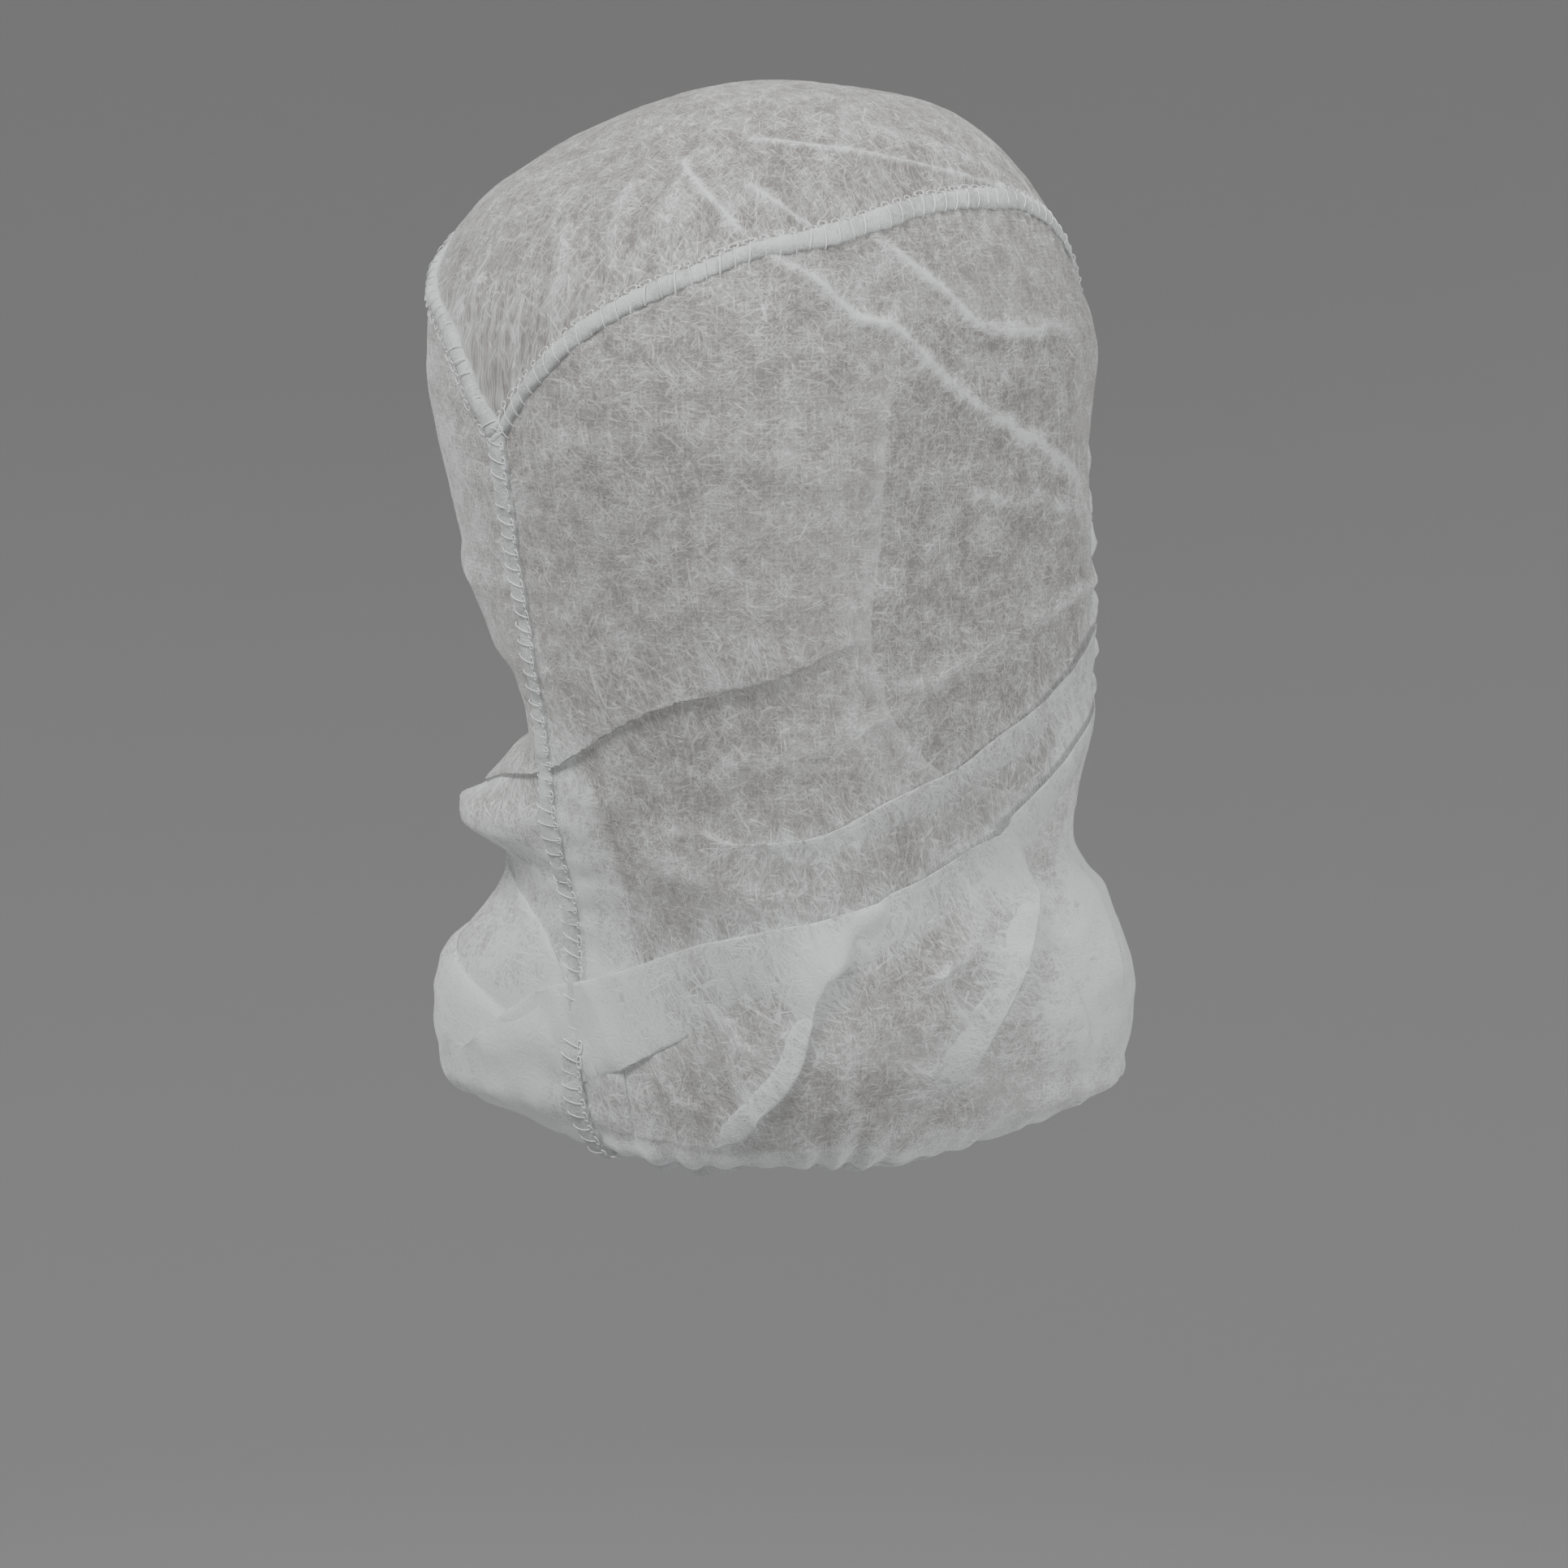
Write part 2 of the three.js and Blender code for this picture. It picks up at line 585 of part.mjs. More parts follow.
// A closed cord round a loop of places, hung off the cloth edge on its open side.
// "inner" is the same loop a little way into the cloth.
function cordGeometry(loop, inner, radius, gatherCount) {
  const sides = CORD_SIDES;
  const count = loop.length;
  const centres = [];
  const outward = [];
  const away = [];
  for (let index = 0; index < count; index += 1) {
    const point = hoodPoint(loop[index]);
    const nextPoint = hoodPoint(loop[(index + 1) % count]);
    const lastPoint = hoodPoint(loop[(index + count - 1) % count]);
    const run = nextPoint.sub(lastPoint).normalize();
    const open = point.clone().sub(hoodPoint(inner[index]));
    open.addScaledVector(run, -open.dot(run)).normalize();
    centres.push(point.addScaledVector(open, radius + CORD_CLEARANCE));
    outward.push(open.clone().cross(run));
    away.push(open);
  }
  const positions = [];
  const faces = [];
  for (let index = 0; index < count; index += 1) {
    const thin = 1 - 0.25 * (0.5 + 0.5 * Math.cos(2 * Math.PI * Math.round(gatherCount) * index / count));
    for (let side = 0; side < sides; side += 1) {
      const turn = 2 * Math.PI * side / sides;
      const point = centres[index].clone();
      point.addScaledVector(outward[index], radius * thin * Math.cos(turn));
      point.addScaledVector(away[index], radius * thin * Math.sin(turn));
      positions.push(point.x, point.y, point.z);
      const next = ((index + 1) % count) * sides;
      const here = index * sides;
      const beside = (side + 1) % sides;
      faces.push(here + side, next + side, next + beside);
      faces.push(here + side, next + beside, here + beside);
    }
  }
  return closedGeometry(positions, faces);
}

// The neck edge of both panels, column by column, as one loop at a running row number.
function neckLoop(sectionRow) {
  const right = [];
  for (let column = 0; column <= PANEL_COLUMNS; column += 1) {
    right.push(discPlace(180 * stepShare(column, PANEL_COLUMNS, EDGE_SHARE), sectionRow));
  }
  const left = right.slice(1, -1).reverse().map((place) => new THREE.Vector2(-place.x, place.y));
  return right.concat(left);
}

// The face edge down the right panel, up the left one and back over the gusset.
function faceLoop() {
  const edges = panelEdges(0);
  const right = [];
  for (let row = PANEL_ROWS; row >= CHIN_SEAM_ROWS; row -= 1) {
    const spot = edges.front(stepShare(row, PANEL_ROWS, EDGE_SHARE));
    right.push(discPlace(spot.x, spot.y));
  }
  const left = right.slice(0, -1).reverse().map((place) => new THREE.Vector2(-place.x, place.y));
  const gussetRows = gussetPlaces(GUSSET_COLUMNS, PANEL_COLUMNS);
  const forehead = gussetRows[gussetRows.length - 1].slice(1, -1);
  return right.concat(left, forehead);
}

// The face edge spread a little into the cloth, away from the middle of the opening.
function spreadLoop(loop) {
  const middle = discPlace(180, rowAtDown(FACE_MID_DOWN));
  return loop.map((place) => place.clone().sub(middle).multiplyScalar(1.05).add(middle));
}

const hood = new THREE.Group();
hood.name = "disposable_hood";

function addPiece(name, geometry, colour, roughness) {
  const material = new THREE.MeshStandardMaterial({ color: colour, roughness, metalness: 0 });
  const mesh = new THREE.Mesh(geometry, material);
  mesh.name = name;
  hood.add(mesh);
}

addPiece("crown_gusset", slabGeometry(gussetPlaces(GUSSET_COLUMNS, PANEL_COLUMNS), clothHeights), 0xdfe2e2, 0.9);
addPiece("side_panel_right", slabGeometry(panelPlaces(1, PANEL_COLUMNS, PANEL_ROWS), clothHeights), 0xe2e5e5, 0.9);
addPiece("side_panel_left", slabGeometry(panelPlaces(-1, PANEL_COLUMNS, PANEL_ROWS), clothHeights), 0xdcdfdf, 0.9);
addPiece("gusset_seam_right", seamGeometry(gussetSeamLine(1, PANEL_COLUMNS)), 0xf2f4f4, 0.8);
addPiece("gusset_seam_left", seamGeometry(gussetSeamLine(-1, PANEL_COLUMNS)), 0xf2f4f4, 0.8);
addPiece("back_seam", seamGeometry(backSeamLine()), 0xf2f4f4, 0.8);
addPiece("chin_seam", seamGeometry(chinSeamLine()), 0xf2f4f4, 0.8);

const faceEdgeLoop = faceLoop();
const faceCord = cordGeometry(faceEdgeLoop, spreadLoop(faceEdgeLoop), FACE_CORD_RADIUS, FACE_GATHERS);
addPiece("face_elastic", faceCord, 0xeceeee, 0.85);

const neckCord = cordGeometry(neckLoop(LAST_SECTION), neckLoop(LAST_SECTION - 0.2), NECK_CORD_RADIUS, NECK_GATHERS);
addPiece("neck_elastic", neckCord, 0xeceeee, 0.85);

export default hood;
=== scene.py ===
import math

import bpy
import numpy as np
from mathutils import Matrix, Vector


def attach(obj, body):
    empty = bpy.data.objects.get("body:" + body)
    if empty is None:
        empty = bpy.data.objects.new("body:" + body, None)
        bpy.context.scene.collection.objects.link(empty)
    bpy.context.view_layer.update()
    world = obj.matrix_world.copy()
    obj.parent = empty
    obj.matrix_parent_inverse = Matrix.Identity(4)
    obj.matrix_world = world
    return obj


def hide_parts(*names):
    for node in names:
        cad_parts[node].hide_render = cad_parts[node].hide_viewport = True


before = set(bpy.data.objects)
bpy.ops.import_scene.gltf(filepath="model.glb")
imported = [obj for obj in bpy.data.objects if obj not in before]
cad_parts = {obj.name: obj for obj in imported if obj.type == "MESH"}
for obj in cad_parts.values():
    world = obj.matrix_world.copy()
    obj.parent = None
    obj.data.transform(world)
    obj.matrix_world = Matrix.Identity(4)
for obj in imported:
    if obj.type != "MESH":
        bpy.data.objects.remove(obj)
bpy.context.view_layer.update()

# Crown gusset. The real piece is one U-shaped panel of white spunbond non-woven, cut to
# a point at the centre back. It makes the top of the hood and its two long edges are
# rolled into the overlock seams. The form of the whole hood is set out here, with it.
HOOD_HEIGHT = 302.0
HALF_WIDTH = 82.0
HALF_DEPTH = 97.0
INNER_FACE = 0.6
MM = 0.001

# One row per cross-section, crown to neck edge: share down, half widths right and left,
# half depths front and back, roundness, and the slack at the back left and front right.
SECTIONS = np.array([
    (0.000, 0.00, 0.00, 0.00, 0.00, 2.00, 0.00, 0.00),
    (0.010, 0.34, 0.33, 0.33, 0.29, 2.00, -0.09, 0.00),
    (0.026, 0.52, 0.52, 0.51, 0.43, 2.10, -0.06, 0.01),
    (0.060, 0.70, 0.69, 0.64, 0.59, 2.20, 0.02, 0.03),
    (0.113, 0.84, 0.85, 0.78, 0.80, 2.35, 0.06, 0.01),
    (0.182, 0.94, 0.95, 0.87, 0.94, 2.45, 0.05, 0.01),
    (0.258, 0.99, 1.00, 0.94, 1.00, 2.50, 0.01, 0.01),
    (0.331, 1.00, 1.00, 0.93, 1.00, 2.50, -0.02, -0.01),
    (0.414, 0.99, 0.95, 0.94, 0.96, 2.45, -0.04, 0.00),
    (0.490, 0.98, 0.85, 0.96, 0.92, 2.40, -0.04, 0.01),
    (0.563, 0.95, 0.70, 0.96, 0.89, 2.20, -0.14, 0.05),
    (0.623, 0.94, 0.66, 0.95, 0.84, 2.15, -0.09, 0.08),
    (0.685, 0.93, 0.70, 0.92, 0.79, 2.20, 0.23, 0.05),
    (0.735, 0.93, 0.73, 0.89, 0.75, 2.30, 0.10, 0.04),
    (0.788, 0.96, 0.80, 0.93, 0.71, 2.30, 0.17, 0.10),
    (0.848, 0.98, 0.90, 0.97, 0.70, 2.30, 0.30, 0.16),
    (0.901, 0.97, 0.93, 0.97, 0.71, 2.30, 0.31, 0.19),
    (0.937, 0.93, 0.91, 0.92, 0.70, 2.30, 0.31, 0.22),
    (0.964, 0.89, 0.88, 0.86, 0.68, 2.25, 0.31, 0.28),
    (0.984, 0.85, 0.84, 0.79, 0.66, 2.20, 0.20, 0.20),
    (0.997, 0.81, 0.80, 0.75, 0.65, 2.10, 0.09, 0.12),
    (1.002, 0.79, 0.77, 0.72, 0.63, 2.00, 0.02, 0.04),
    (1.000, 0.75, 0.73, 0.67, 0.60, 2.00, 0.00, 0.00),
])
PUFF_BACK_ANGLE = -40.0
PUFF_FRONT_ANGLE = 140.0
PUFF_SPREAD = 30.0
LEAST_REACH = 0.001
LEAST_NORMAL = 1e-9
LAST_ROW = len(SECTIONS) - 1
BEFORE_CROWN = SECTIONS[1] * np.array((1, -1, -1, -1, -1, 1, 1, 1))
SECTION_TABLE = np.vstack([BEFORE_CROWN, SECTIONS, SECTIONS[-1]])


def spline_rows(table, position):
    """Smooth values between the rows of a table that has one spare row at each end."""
    held = np.clip(position, 0, len(table) - 3)
    start = np.minimum(held.astype(int), len(table) - 4)
    share = (held - start)[..., None]
    before, first, last, after = (table[start + step] for step in range(4))
    linear = last - before
    square = 2 * before - 5 * first + 4 * last - after
    cube = 3 * first - before - 3 * last + after
    return first + 0.5 * share * (linear + share * (square + share * cube))


def angle_between(first, second):
    return (first - second + 180) % 360 - 180


def smooth_point(around, row):
    """The hood's smooth form: points at degrees around from the back and at row numbers."""
    around, row = np.broadcast_arrays(np.asarray(around, float), np.asarray(row, float))
    down, right, left, front, back, square, puff_back, puff_front = np.moveaxis(
        spline_rows(SECTION_TABLE, row), -1, 0
    )
    sine = np.sin(np.radians(around))
    cosine = np.cos(np.radians(around))
    half_width = np.maximum(HALF_WIDTH * np.where(sine >= 0, right, left), LEAST_REACH)
    half_depth = np.maximum(HALF_DEPTH * np.where(cosine >= 0, back, front), LEAST_REACH)
    reach = (np.abs(sine / half_width) ** square + np.abs(cosine / half_depth) ** square) ** (-1 / square)
    for puff, angle in ((puff_back, PUFF_BACK_ANGLE), (puff_front, PUFF_FRONT_ANGLE)):
        reach = reach + HALF_WIDTH * puff * np.exp(-(angle_between(around, angle) / PUFF_SPREAD) ** 2)
    return np.stack([-reach * sine, reach * cosine, INNER_FACE - HOOD_HEIGHT * down], -1)


def smooth_normal(around, row, step=0.02):
    """Outward normals of the smooth form, from small steps either way over the crown's disc."""
    across = row * np.sin(np.radians(around))
    along = row * np.cos(np.radians(around))

    def at(shift_across, shift_along):
        x = across + shift_across
        y = along + shift_along
        return smooth_point(np.degrees(np.arctan2(x, y)), np.hypot(x, y))

    normal = np.cross(at(0, step) - at(0, -step), at(step, 0) - at(-step, 0))
    return normal / np.maximum(np.linalg.norm(normal, axis=-1, keepdims=True), LEAST_NORMAL)


# Lengths along the cloth from the crown, and millimetres of cloth to one degree around.
ROW_SAMPLES = 600
LEAST_RADIUS = 12.0
ROW_STEPS = np.linspace(0, LAST_ROW, ROW_SAMPLES)
ROW_VALUES = spline_rows(SECTION_TABLE, ROW_STEPS)
ROW_REACH = (HALF_WIDTH * ROW_VALUES[:, 1] + HALF_DEPTH * ROW_VALUES[:, 4]) / 2
ROW_LENGTH = np.concatenate([
    [0], np.cumsum(np.hypot(np.diff(ROW_REACH), np.diff(HOOD_HEIGHT * ROW_VALUES[:, 0])))
])
RISING = ROW_STEPS <= LAST_ROW - 1


def row_at_down(down):
    return np.interp(down, ROW_VALUES[RISING, 0], ROW_STEPS[RISING])


def length_at_row(row):
    return np.interp(row, ROW_STEPS, ROW_LENGTH)


def row_at_length(length):
    return np.interp(length, ROW_LENGTH, ROW_STEPS)


def degree_length(row):
    return np.maximum(np.interp(row, ROW_STEPS, ROW_REACH), LEAST_RADIUS) * math.pi / 180


# Every fold of the drape. Its path is in degrees around and shares down. The widths at its
# two ends, the lift and the layer gap are in mm. A tuck over 1 doubles the cloth back on
# itself along the path, and the cloth on the path's left lies on top where "top" is 1, and
# on its right where it is -1. "White" is how much more cloth is bunched on its line.
FOLDS = (
    # path, first width, last width, lift, tuck, layer, top, white
    # cheek band, neck band and the white fold at the side of the neck
    (((150, 0.500), (134, 0.545), (117, 0.590), (103, 0.616), (92, 0.640), (76, 0.658), (58, 0.688),
      (42, 0.684), (30, 0.655)),
     8.5, 4, 1.8, 3.0, 1.3, -1, 0.46),
    (((150, 0.560), (134, 0.618), (116, 0.678), (100, 0.716), (82, 0.750), (62, 0.781), (42, 0.806),
      (22, 0.848), (4, 0.880), (-20, 0.910), (-40, 0.928)),
     5.5, 18, 2.4, 4.0, 1.6, -1, 0.60),
    (((117, 0.728), (110, 0.760), (101, 0.825), (92, 0.888), (84, 0.955)), 8, 10, 2.4, 3.0, 1.4, 1, 0.58),
    # pleat from the neck band to the hem, and the small creases beside it
    (((98, 0.752), (95, 0.780), (90, 0.806), (80, 0.826)), 4, 4, 1.3, 0.9, 0.4, 1, 0.35),
    (((71, 0.812), (61, 0.832), (56, 0.862), (52, 0.905), (35, 0.990)), 4, 6, 2.2, 3.0, 1.1, 1, 0.55),
    (((79, 0.782), (64, 0.815), (50, 0.850)), 3.5, 3, 1.3, 1.1, 0.5, 1, 0.35),
    (((86, 0.800), (85, 0.845), (78, 0.880)), 4, 4, 1.2, 0.8, 0.4, 1, 0.22),
    # creases of the hem at the back
    (((14, 0.895), (15, 0.930), (14, 0.995)), 4, 4, -1.2, 1.5, 0.6, 1, 0.15),
    (((46, 0.872), (42, 0.900), (44, 0.945)), 4, 4, 1.0, 0.8, 0.3, 1, 0.25),
    # slouch fold across the back seam, and the ridge of its corner
    (((-44, 0.675), (-20, 0.645), (1, 0.619), (28, 0.551), (43, 0.530), (74, 0.490)),
     7, 5, 0.6, 2.4, 1.1, -1, 0.16),
    (((-80, 0.700), (-40, 0.690), (-10, 0.668)), 2, 2, 1.4, 0.6, 0.0, 1, 0.18),
    # long creases from the gusset seam to the face opening, and two below them
    (((70, 0.130), (88, 0.190), (98, 0.222), (126, 0.226)), 2.4, 2.2, 1.3, 0.5, 0.3, 1, 0.72),
    (((44, 0.140), (58, 0.172), (67, 0.211), (74, 0.216), (93, 0.289), (138, 0.388)),
     2.3, 3.2, 1.6, 0.8, 0.3, 1, 0.80),
    (((146, 0.422), (124, 0.396), (104, 0.381), (85, 0.367)), 3, 3, 1.2, 0.3, 0.1, 1, 0.42),
    (((146, 0.468), (128, 0.478), (106, 0.505)), 3, 4, 1.3, 0.3, 0.1, 1, 0.34),
    # creases that run to the gusset seam, and those along the gusset
    (((26, 0.066), (41, 0.115), (49, 0.150)), 1.8, 1.6, 1.1, 0.4, 0.2, 1, 0.60),
    (((44, 0.088), (54, 0.115), (60, 0.136)), 1.8, 1.6, 1.1, 0.4, 0.2, 1, 0.55),
    (((39, 0.049), (83, 0.071), (132, 0.114)), 1.9, 2.2, 1.2, 0.4, 0.2, 1, 0.60),
    (((60, 0.030), (100, 0.060), (134, 0.115)), 4, 4, 1.0, 0.0, 0.0, 1, 0.25),
    # short creases of the gusset's point
    (((7, 0.115), (11, 0.170), (12, 0.220)), 3, 3, 1.0, 0.0, 0.0, 1, 0.22),
    (((18, 0.080), (20, 0.130), (24, 0.180)), 3, 3, 0.9, 0.2, 0.0, 1, 0.22),
    (((-8, 0.085), (-10, 0.150), (-8, 0.215)), 4, 4, 0.8, 0.0, 0.0, 1, 0.15),
    (((32, 0.055), (29, 0.100), (31, 0.150)), 3, 3, 0.9, 0.2, 0.0, 1, 0.22),
    # slack at the back left, then at the front right
    (((-34, 0.745), (-15, 0.782), (-2, 0.828)), 5, 5, -1.8, 1.9, 0.9, 1, 0.05),
    (((-52, 0.810), (-22, 0.843), (-6, 0.836)), 6, 6, -1.6, 1.2, 0.6, 1, 0.05),
    (((114, 0.790), (119, 0.836), (124, 0.915)), 4, 5, -1.4, 1.2, 0.5, 1, 0.08),
    (((128, 0.720), (134, 0.780), (132, 0.880)), 5, 5, 1.4, 1.0, 0.4, 1, 0.10),
    (((144, 0.760), (146, 0.820), (140, 0.900)), 5, 5, 1.4, 0.8, 0.4, 1, 0.10),
    # left of the back seam, then the soft swells of the right panel
    (((-8, 0.470), (-45, 0.435), (-88, 0.420)), 5, 5, 1.5, 0.2, 0.0, 1, 0.18),
    (((-8, 0.535), (-45, 0.505), (-88, 0.500)), 5, 5, 1.5, 0.2, 0.0, 1, 0.18),
    (((28, 0.290), (60, 0.345), (96, 0.352)), 6, 5, 1.0, 0.0, 0.0, 1, 0.14),
    (((34, 0.615), (60, 0.596), (96, 0.520), (120, 0.500)), 7, 7, 1.2, 0.3, 0.0, 1, 0.14),
    (((20, 0.700), (50, 0.735), (86, 0.690)), 7, 6, 1.1, 0.3, 0.0, 1, 0.14),
    # left side, and under the chin
    (((-140, 0.590), (-105, 0.690), (-62, 0.765)), 6, 7, 2.4, 3.2, 1.2, -1, 0.25),
    (((-136, 0.510), (-105, 0.585), (-72, 0.610)), 6, 5, 1.6, 2.6, 1.0, -1, 0.20),
    (((-55, 0.150), (-95, 0.250), (-134, 0.360)), 2.2, 2.2, 1.3, 0.5, 0.2, 1, 0.50),
    (((-98, 0.780), (-108, 0.850), (-114, 0.920)), 6, 6, -1.8, 1.2, 0.5, 1, 0.12),
    (((-70, 0.800), (-62, 0.880), (-66, 0.970)), 5, 6, 1.8, 2.4, 0.9, 1, 0.25),
    (((174, 0.760), (160, 0.820), (150, 0.900)), 6, 6, 1.8, 1.2, 0.5, 1, 0.15),
    (((-172, 0.765), (-158, 0.820), (-146, 0.890)), 6, 6, 1.8, 1.2, 0.5, 1, 0.15),
)
PATH_STEPS = 28
FINE_STEPS = 20
PATH_DEGREE_MM = 1.4
LEAST_SQUARE = 1e-6


def spline_path(knots, steps):
    """A smooth path through the knots, as steps + 1 places evenly spaced along it."""
    knots = np.array(knots, float)
    table = np.vstack([2 * knots[0] - knots[1], knots, 2 * knots[-1] - knots[-2]])
    fine = spline_rows(table, np.linspace(0, len(knots) - 1, FINE_STEPS * steps))
    run = np.concatenate([[0], np.cumsum(np.linalg.norm(np.diff(fine, axis=0), axis=1))])
    even = np.linspace(0, run[-1], steps + 1)
    return np.stack([np.interp(even, run, fine[:, axis]) for axis in range(fine.shape[1])], -1)


def fold_places(path):
    knots = [(around * PATH_DEGREE_MM, length_at_row(row_at_down(down))) for around, down in path]
    places = spline_path(knots, PATH_STEPS)
    return np.stack([places[:, 0] / PATH_DEGREE_MM, places[:, 1]], -1)


FOLD_PATHS = [fold_places(fold[0]) for fold in FOLDS]


def nearest_on_path(places, around, length, scale):
    """For each spot, the vector from the path's nearest point to it, that point's share
    along the path, and on which side of the path the spot is (1 is the left)."""
    best = np.full(around.shape, np.inf)
    offset = np.zeros(around.shape + (2,))
    share = np.zeros(around.shape)
    side = np.ones(around.shape)
    for step in range(len(places) - 1):
        start = np.stack([(places[step, 0] - around) * scale, places[step, 1] - length], -1)
        end = np.stack([(places[step + 1, 0] - around) * scale, places[step + 1, 1] - length], -1)
        run = end - start
        square = np.maximum((run * run).sum(-1), LEAST_SQUARE)
        along = np.clip(-(start * run).sum(-1) / square, 0, 1)
        gap = -(start + run * along[..., None])
        distance = np.linalg.norm(gap, axis=-1)
        nearer = distance < best
        best = np.where(nearer, distance, best)
        offset[nearer] = gap[nearer]
        share = np.where(nearer, (step + along) / (len(places) - 1), share)
        side = np.where(nearer, np.sign(run[..., 0] * gap[..., 1] - run[..., 1] * gap[..., 0]), side)
    return offset, best, share, side


# A fold opens and closes over these shares of its path, and none moves the last rows. Its
# reach, its ridge, the step between its layers and its bunched cloth go by its own width.
FOLD_OPENS = 0.14
FOLD_CLOSES = 0.20
HELD_ROWS = 3.0
FOLD_REACH = 3.2
RIDGE_STEEPNESS = 1.1
LAYER_STEEPNESS = 2.2
BUNCH_WIDTH = 0.7
BUNCH_WIDTH_PER_TUCK = 0.22
BUNCH_POWER = 2
BUNCH_POWER_PER_TUCK = 1.2


def eased(share):
    held = np.clip(share, 0, 1)
    return held * held * (3 - 2 * held)


def folded(around, row):
    """Moves spots along the cloth where folds double it. Gives the moved spots, their lift
    and how much more cloth is bunched there."""
    length = length_at_row(row)
    scale = degree_length(row)
    shift = np.zeros(around.shape + (2,))
    lift = np.zeros(around.shape)
    bunched = np.zeros(around.shape)
    for fold, places in zip(FOLDS, FOLD_PATHS):
        _, first_width, last_width, height, tuck, layer, top, white = fold
        reach = FOLD_REACH * max(first_width, last_width)
        near = (length > places[:, 1].min() - reach) & (length < places[:, 1].max() + reach)
        beside = reach / scale
        near &= (around > places[:, 0].min() - beside) & (around < places[:, 0].max() + beside)
        if not near.any():
            continue
        offset, distance, share, side = nearest_on_path(places, around[near], length[near], scale[near])
        fade = eased(share / FOLD_OPENS) * eased((1 - share) / FOLD_CLOSES)
        ratio = distance / (first_width + (last_width - first_width) * share ** 2)
        bell = np.exp(-ratio ** 2)
        shift[near] -= (tuck * fade * bell)[:, None] * offset
        ridge = height * np.exp(-(ratio * RIDGE_STEEPNESS) ** 2)
        lift[near] += fade * (ridge + top * side * layer * LAYER_STEEPNESS * ratio * bell)
        spread = BUNCH_WIDTH + BUNCH_WIDTH_PER_TUCK * tuck
        power = BUNCH_POWER + BUNCH_POWER_PER_TUCK * tuck
        bunched[near] += white * fade * np.exp(-(ratio / spread) ** power)
    free = eased((LAST_ROW - row) / HELD_ROWS)
    moved_around = around + free * shift[..., 0] / scale
    moved_row = np.clip(row_at_length(length + free * shift[..., 1]), 0, LAST_ROW)
    return moved_around, moved_row, lift, bunched


LATTICE_FACTORS = (374761393, 668265263, 1274126177, 974634777)
SCRAMBLE_FACTOR = 1103515245
WORD = 0xFFFFFFFF
HALF_WORD = 0xFFFF
FAR_CORNER = 1000.0


def lattice_value(x, y, z, seed):
    """A seeded value from -1 to 1 at each corner of a grid of cubes."""
    mixed = sum(part * factor for part, factor in zip((x, y, z, seed), LATTICE_FACTORS)) & WORD
    mixed = ((mixed ^ (mixed >> 13)) * SCRAMBLE_FACTOR) & WORD
    mixed = mixed ^ (mixed >> 16)
    return 2 * (mixed & HALF_WORD) / HALF_WORD - 1


def crumple(points, size, seed):
    """Seeded smooth noise from -1 to 1, with bumps of about the given size."""
    scaled = points / size + FAR_CORNER
    cell = np.floor(scaled).astype(np.int64)
    share = scaled - cell
    share = share ** 3 * (share * (share * 6 - 15) + 10)
    total = np.zeros(points.shape[:-1])
    for corner in range(8):
        step = (corner & 1, corner >> 1 & 1, corner >> 2 & 1)
        weight = np.ones(points.shape[:-1])
        for axis in range(3):
            weight = weight * (share[..., axis] if step[axis] else 1 - share[..., axis])
        corner_cell = (cell[..., axis] + step[axis] for axis in range(3))
        total = total + weight * lattice_value(*corner_cell, seed)
    return total


GUSSET_SEAM = (
    (0, 0.318), (13, 0.241), (23, 0.203), (34, 0.174), (47, 0.147), (60, 0.135), (74, 0.121),
    (91, 0.111), (109, 0.109), (125, 0.115), (141, 0.150), (155, 0.245),
)
FACE_EDGE = (
    (155, 0.245), (151, 0.340), (150, 0.450), (151, 0.575), (157, 0.665), (168, 0.712), (180, 0.722),
)
FACE_TOP_DOWN = 0.232
CURVE_STEPS = 400


def table_curve(table):
    """A smooth curve through a table of places, as degrees around and row numbers."""
    return spline_path([(around, row_at_down(down)) for around, down in table], CURVE_STEPS)


def curve_at(curve, share):
    shares = np.linspace(0, 1, len(curve))
    return np.stack([np.interp(share, shares, curve[:, axis]) for axis in (0, 1)], -1)


GUSSET_CURVE = table_curve(GUSSET_SEAM)
FACE_CURVE = table_curve(FACE_EDGE)
TIP_ROW = GUSSET_CURVE[0, 1]
CHIN_ROW = FACE_CURVE[-1, 1]
FACE_TOP_ROW = float(row_at_down(FACE_TOP_DOWN))


# Puckers and gathers. Each set of waves that makes them uneven is a height, how many waves
# go to one turn, and where they start.
SEAM_PUCKERS = 38
SEAM_WAVES = ((2.4, 5, 0.0),)
PUCKER_DEPTH = 0.7
PUCKER_REACH = 8.0
PUCKER_CLEARANCE = 3.0
BACK_PUCKER_PITCH = 9.0
BACK_WAVES = ((1.5, 1, 0.0),)
BACK_WAVE_LENGTH = 17.0
TIP_FADE = 10.0
SEAM_PLACE_STEP = 10
SEAM_PLACES = GUSSET_CURVE[::SEAM_PLACE_STEP].copy()
SEAM_PLACES[:, 1] = length_at_row(SEAM_PLACES[:, 1])


def uneven(turn, waves):
    return sum(height * np.sin(count * turn + start) for height, count, start in waves)


def beside_seam(distance):
    return np.exp(-distance / PUCKER_REACH) * (1 - np.exp(-(distance / PUCKER_CLEARANCE) ** 2))


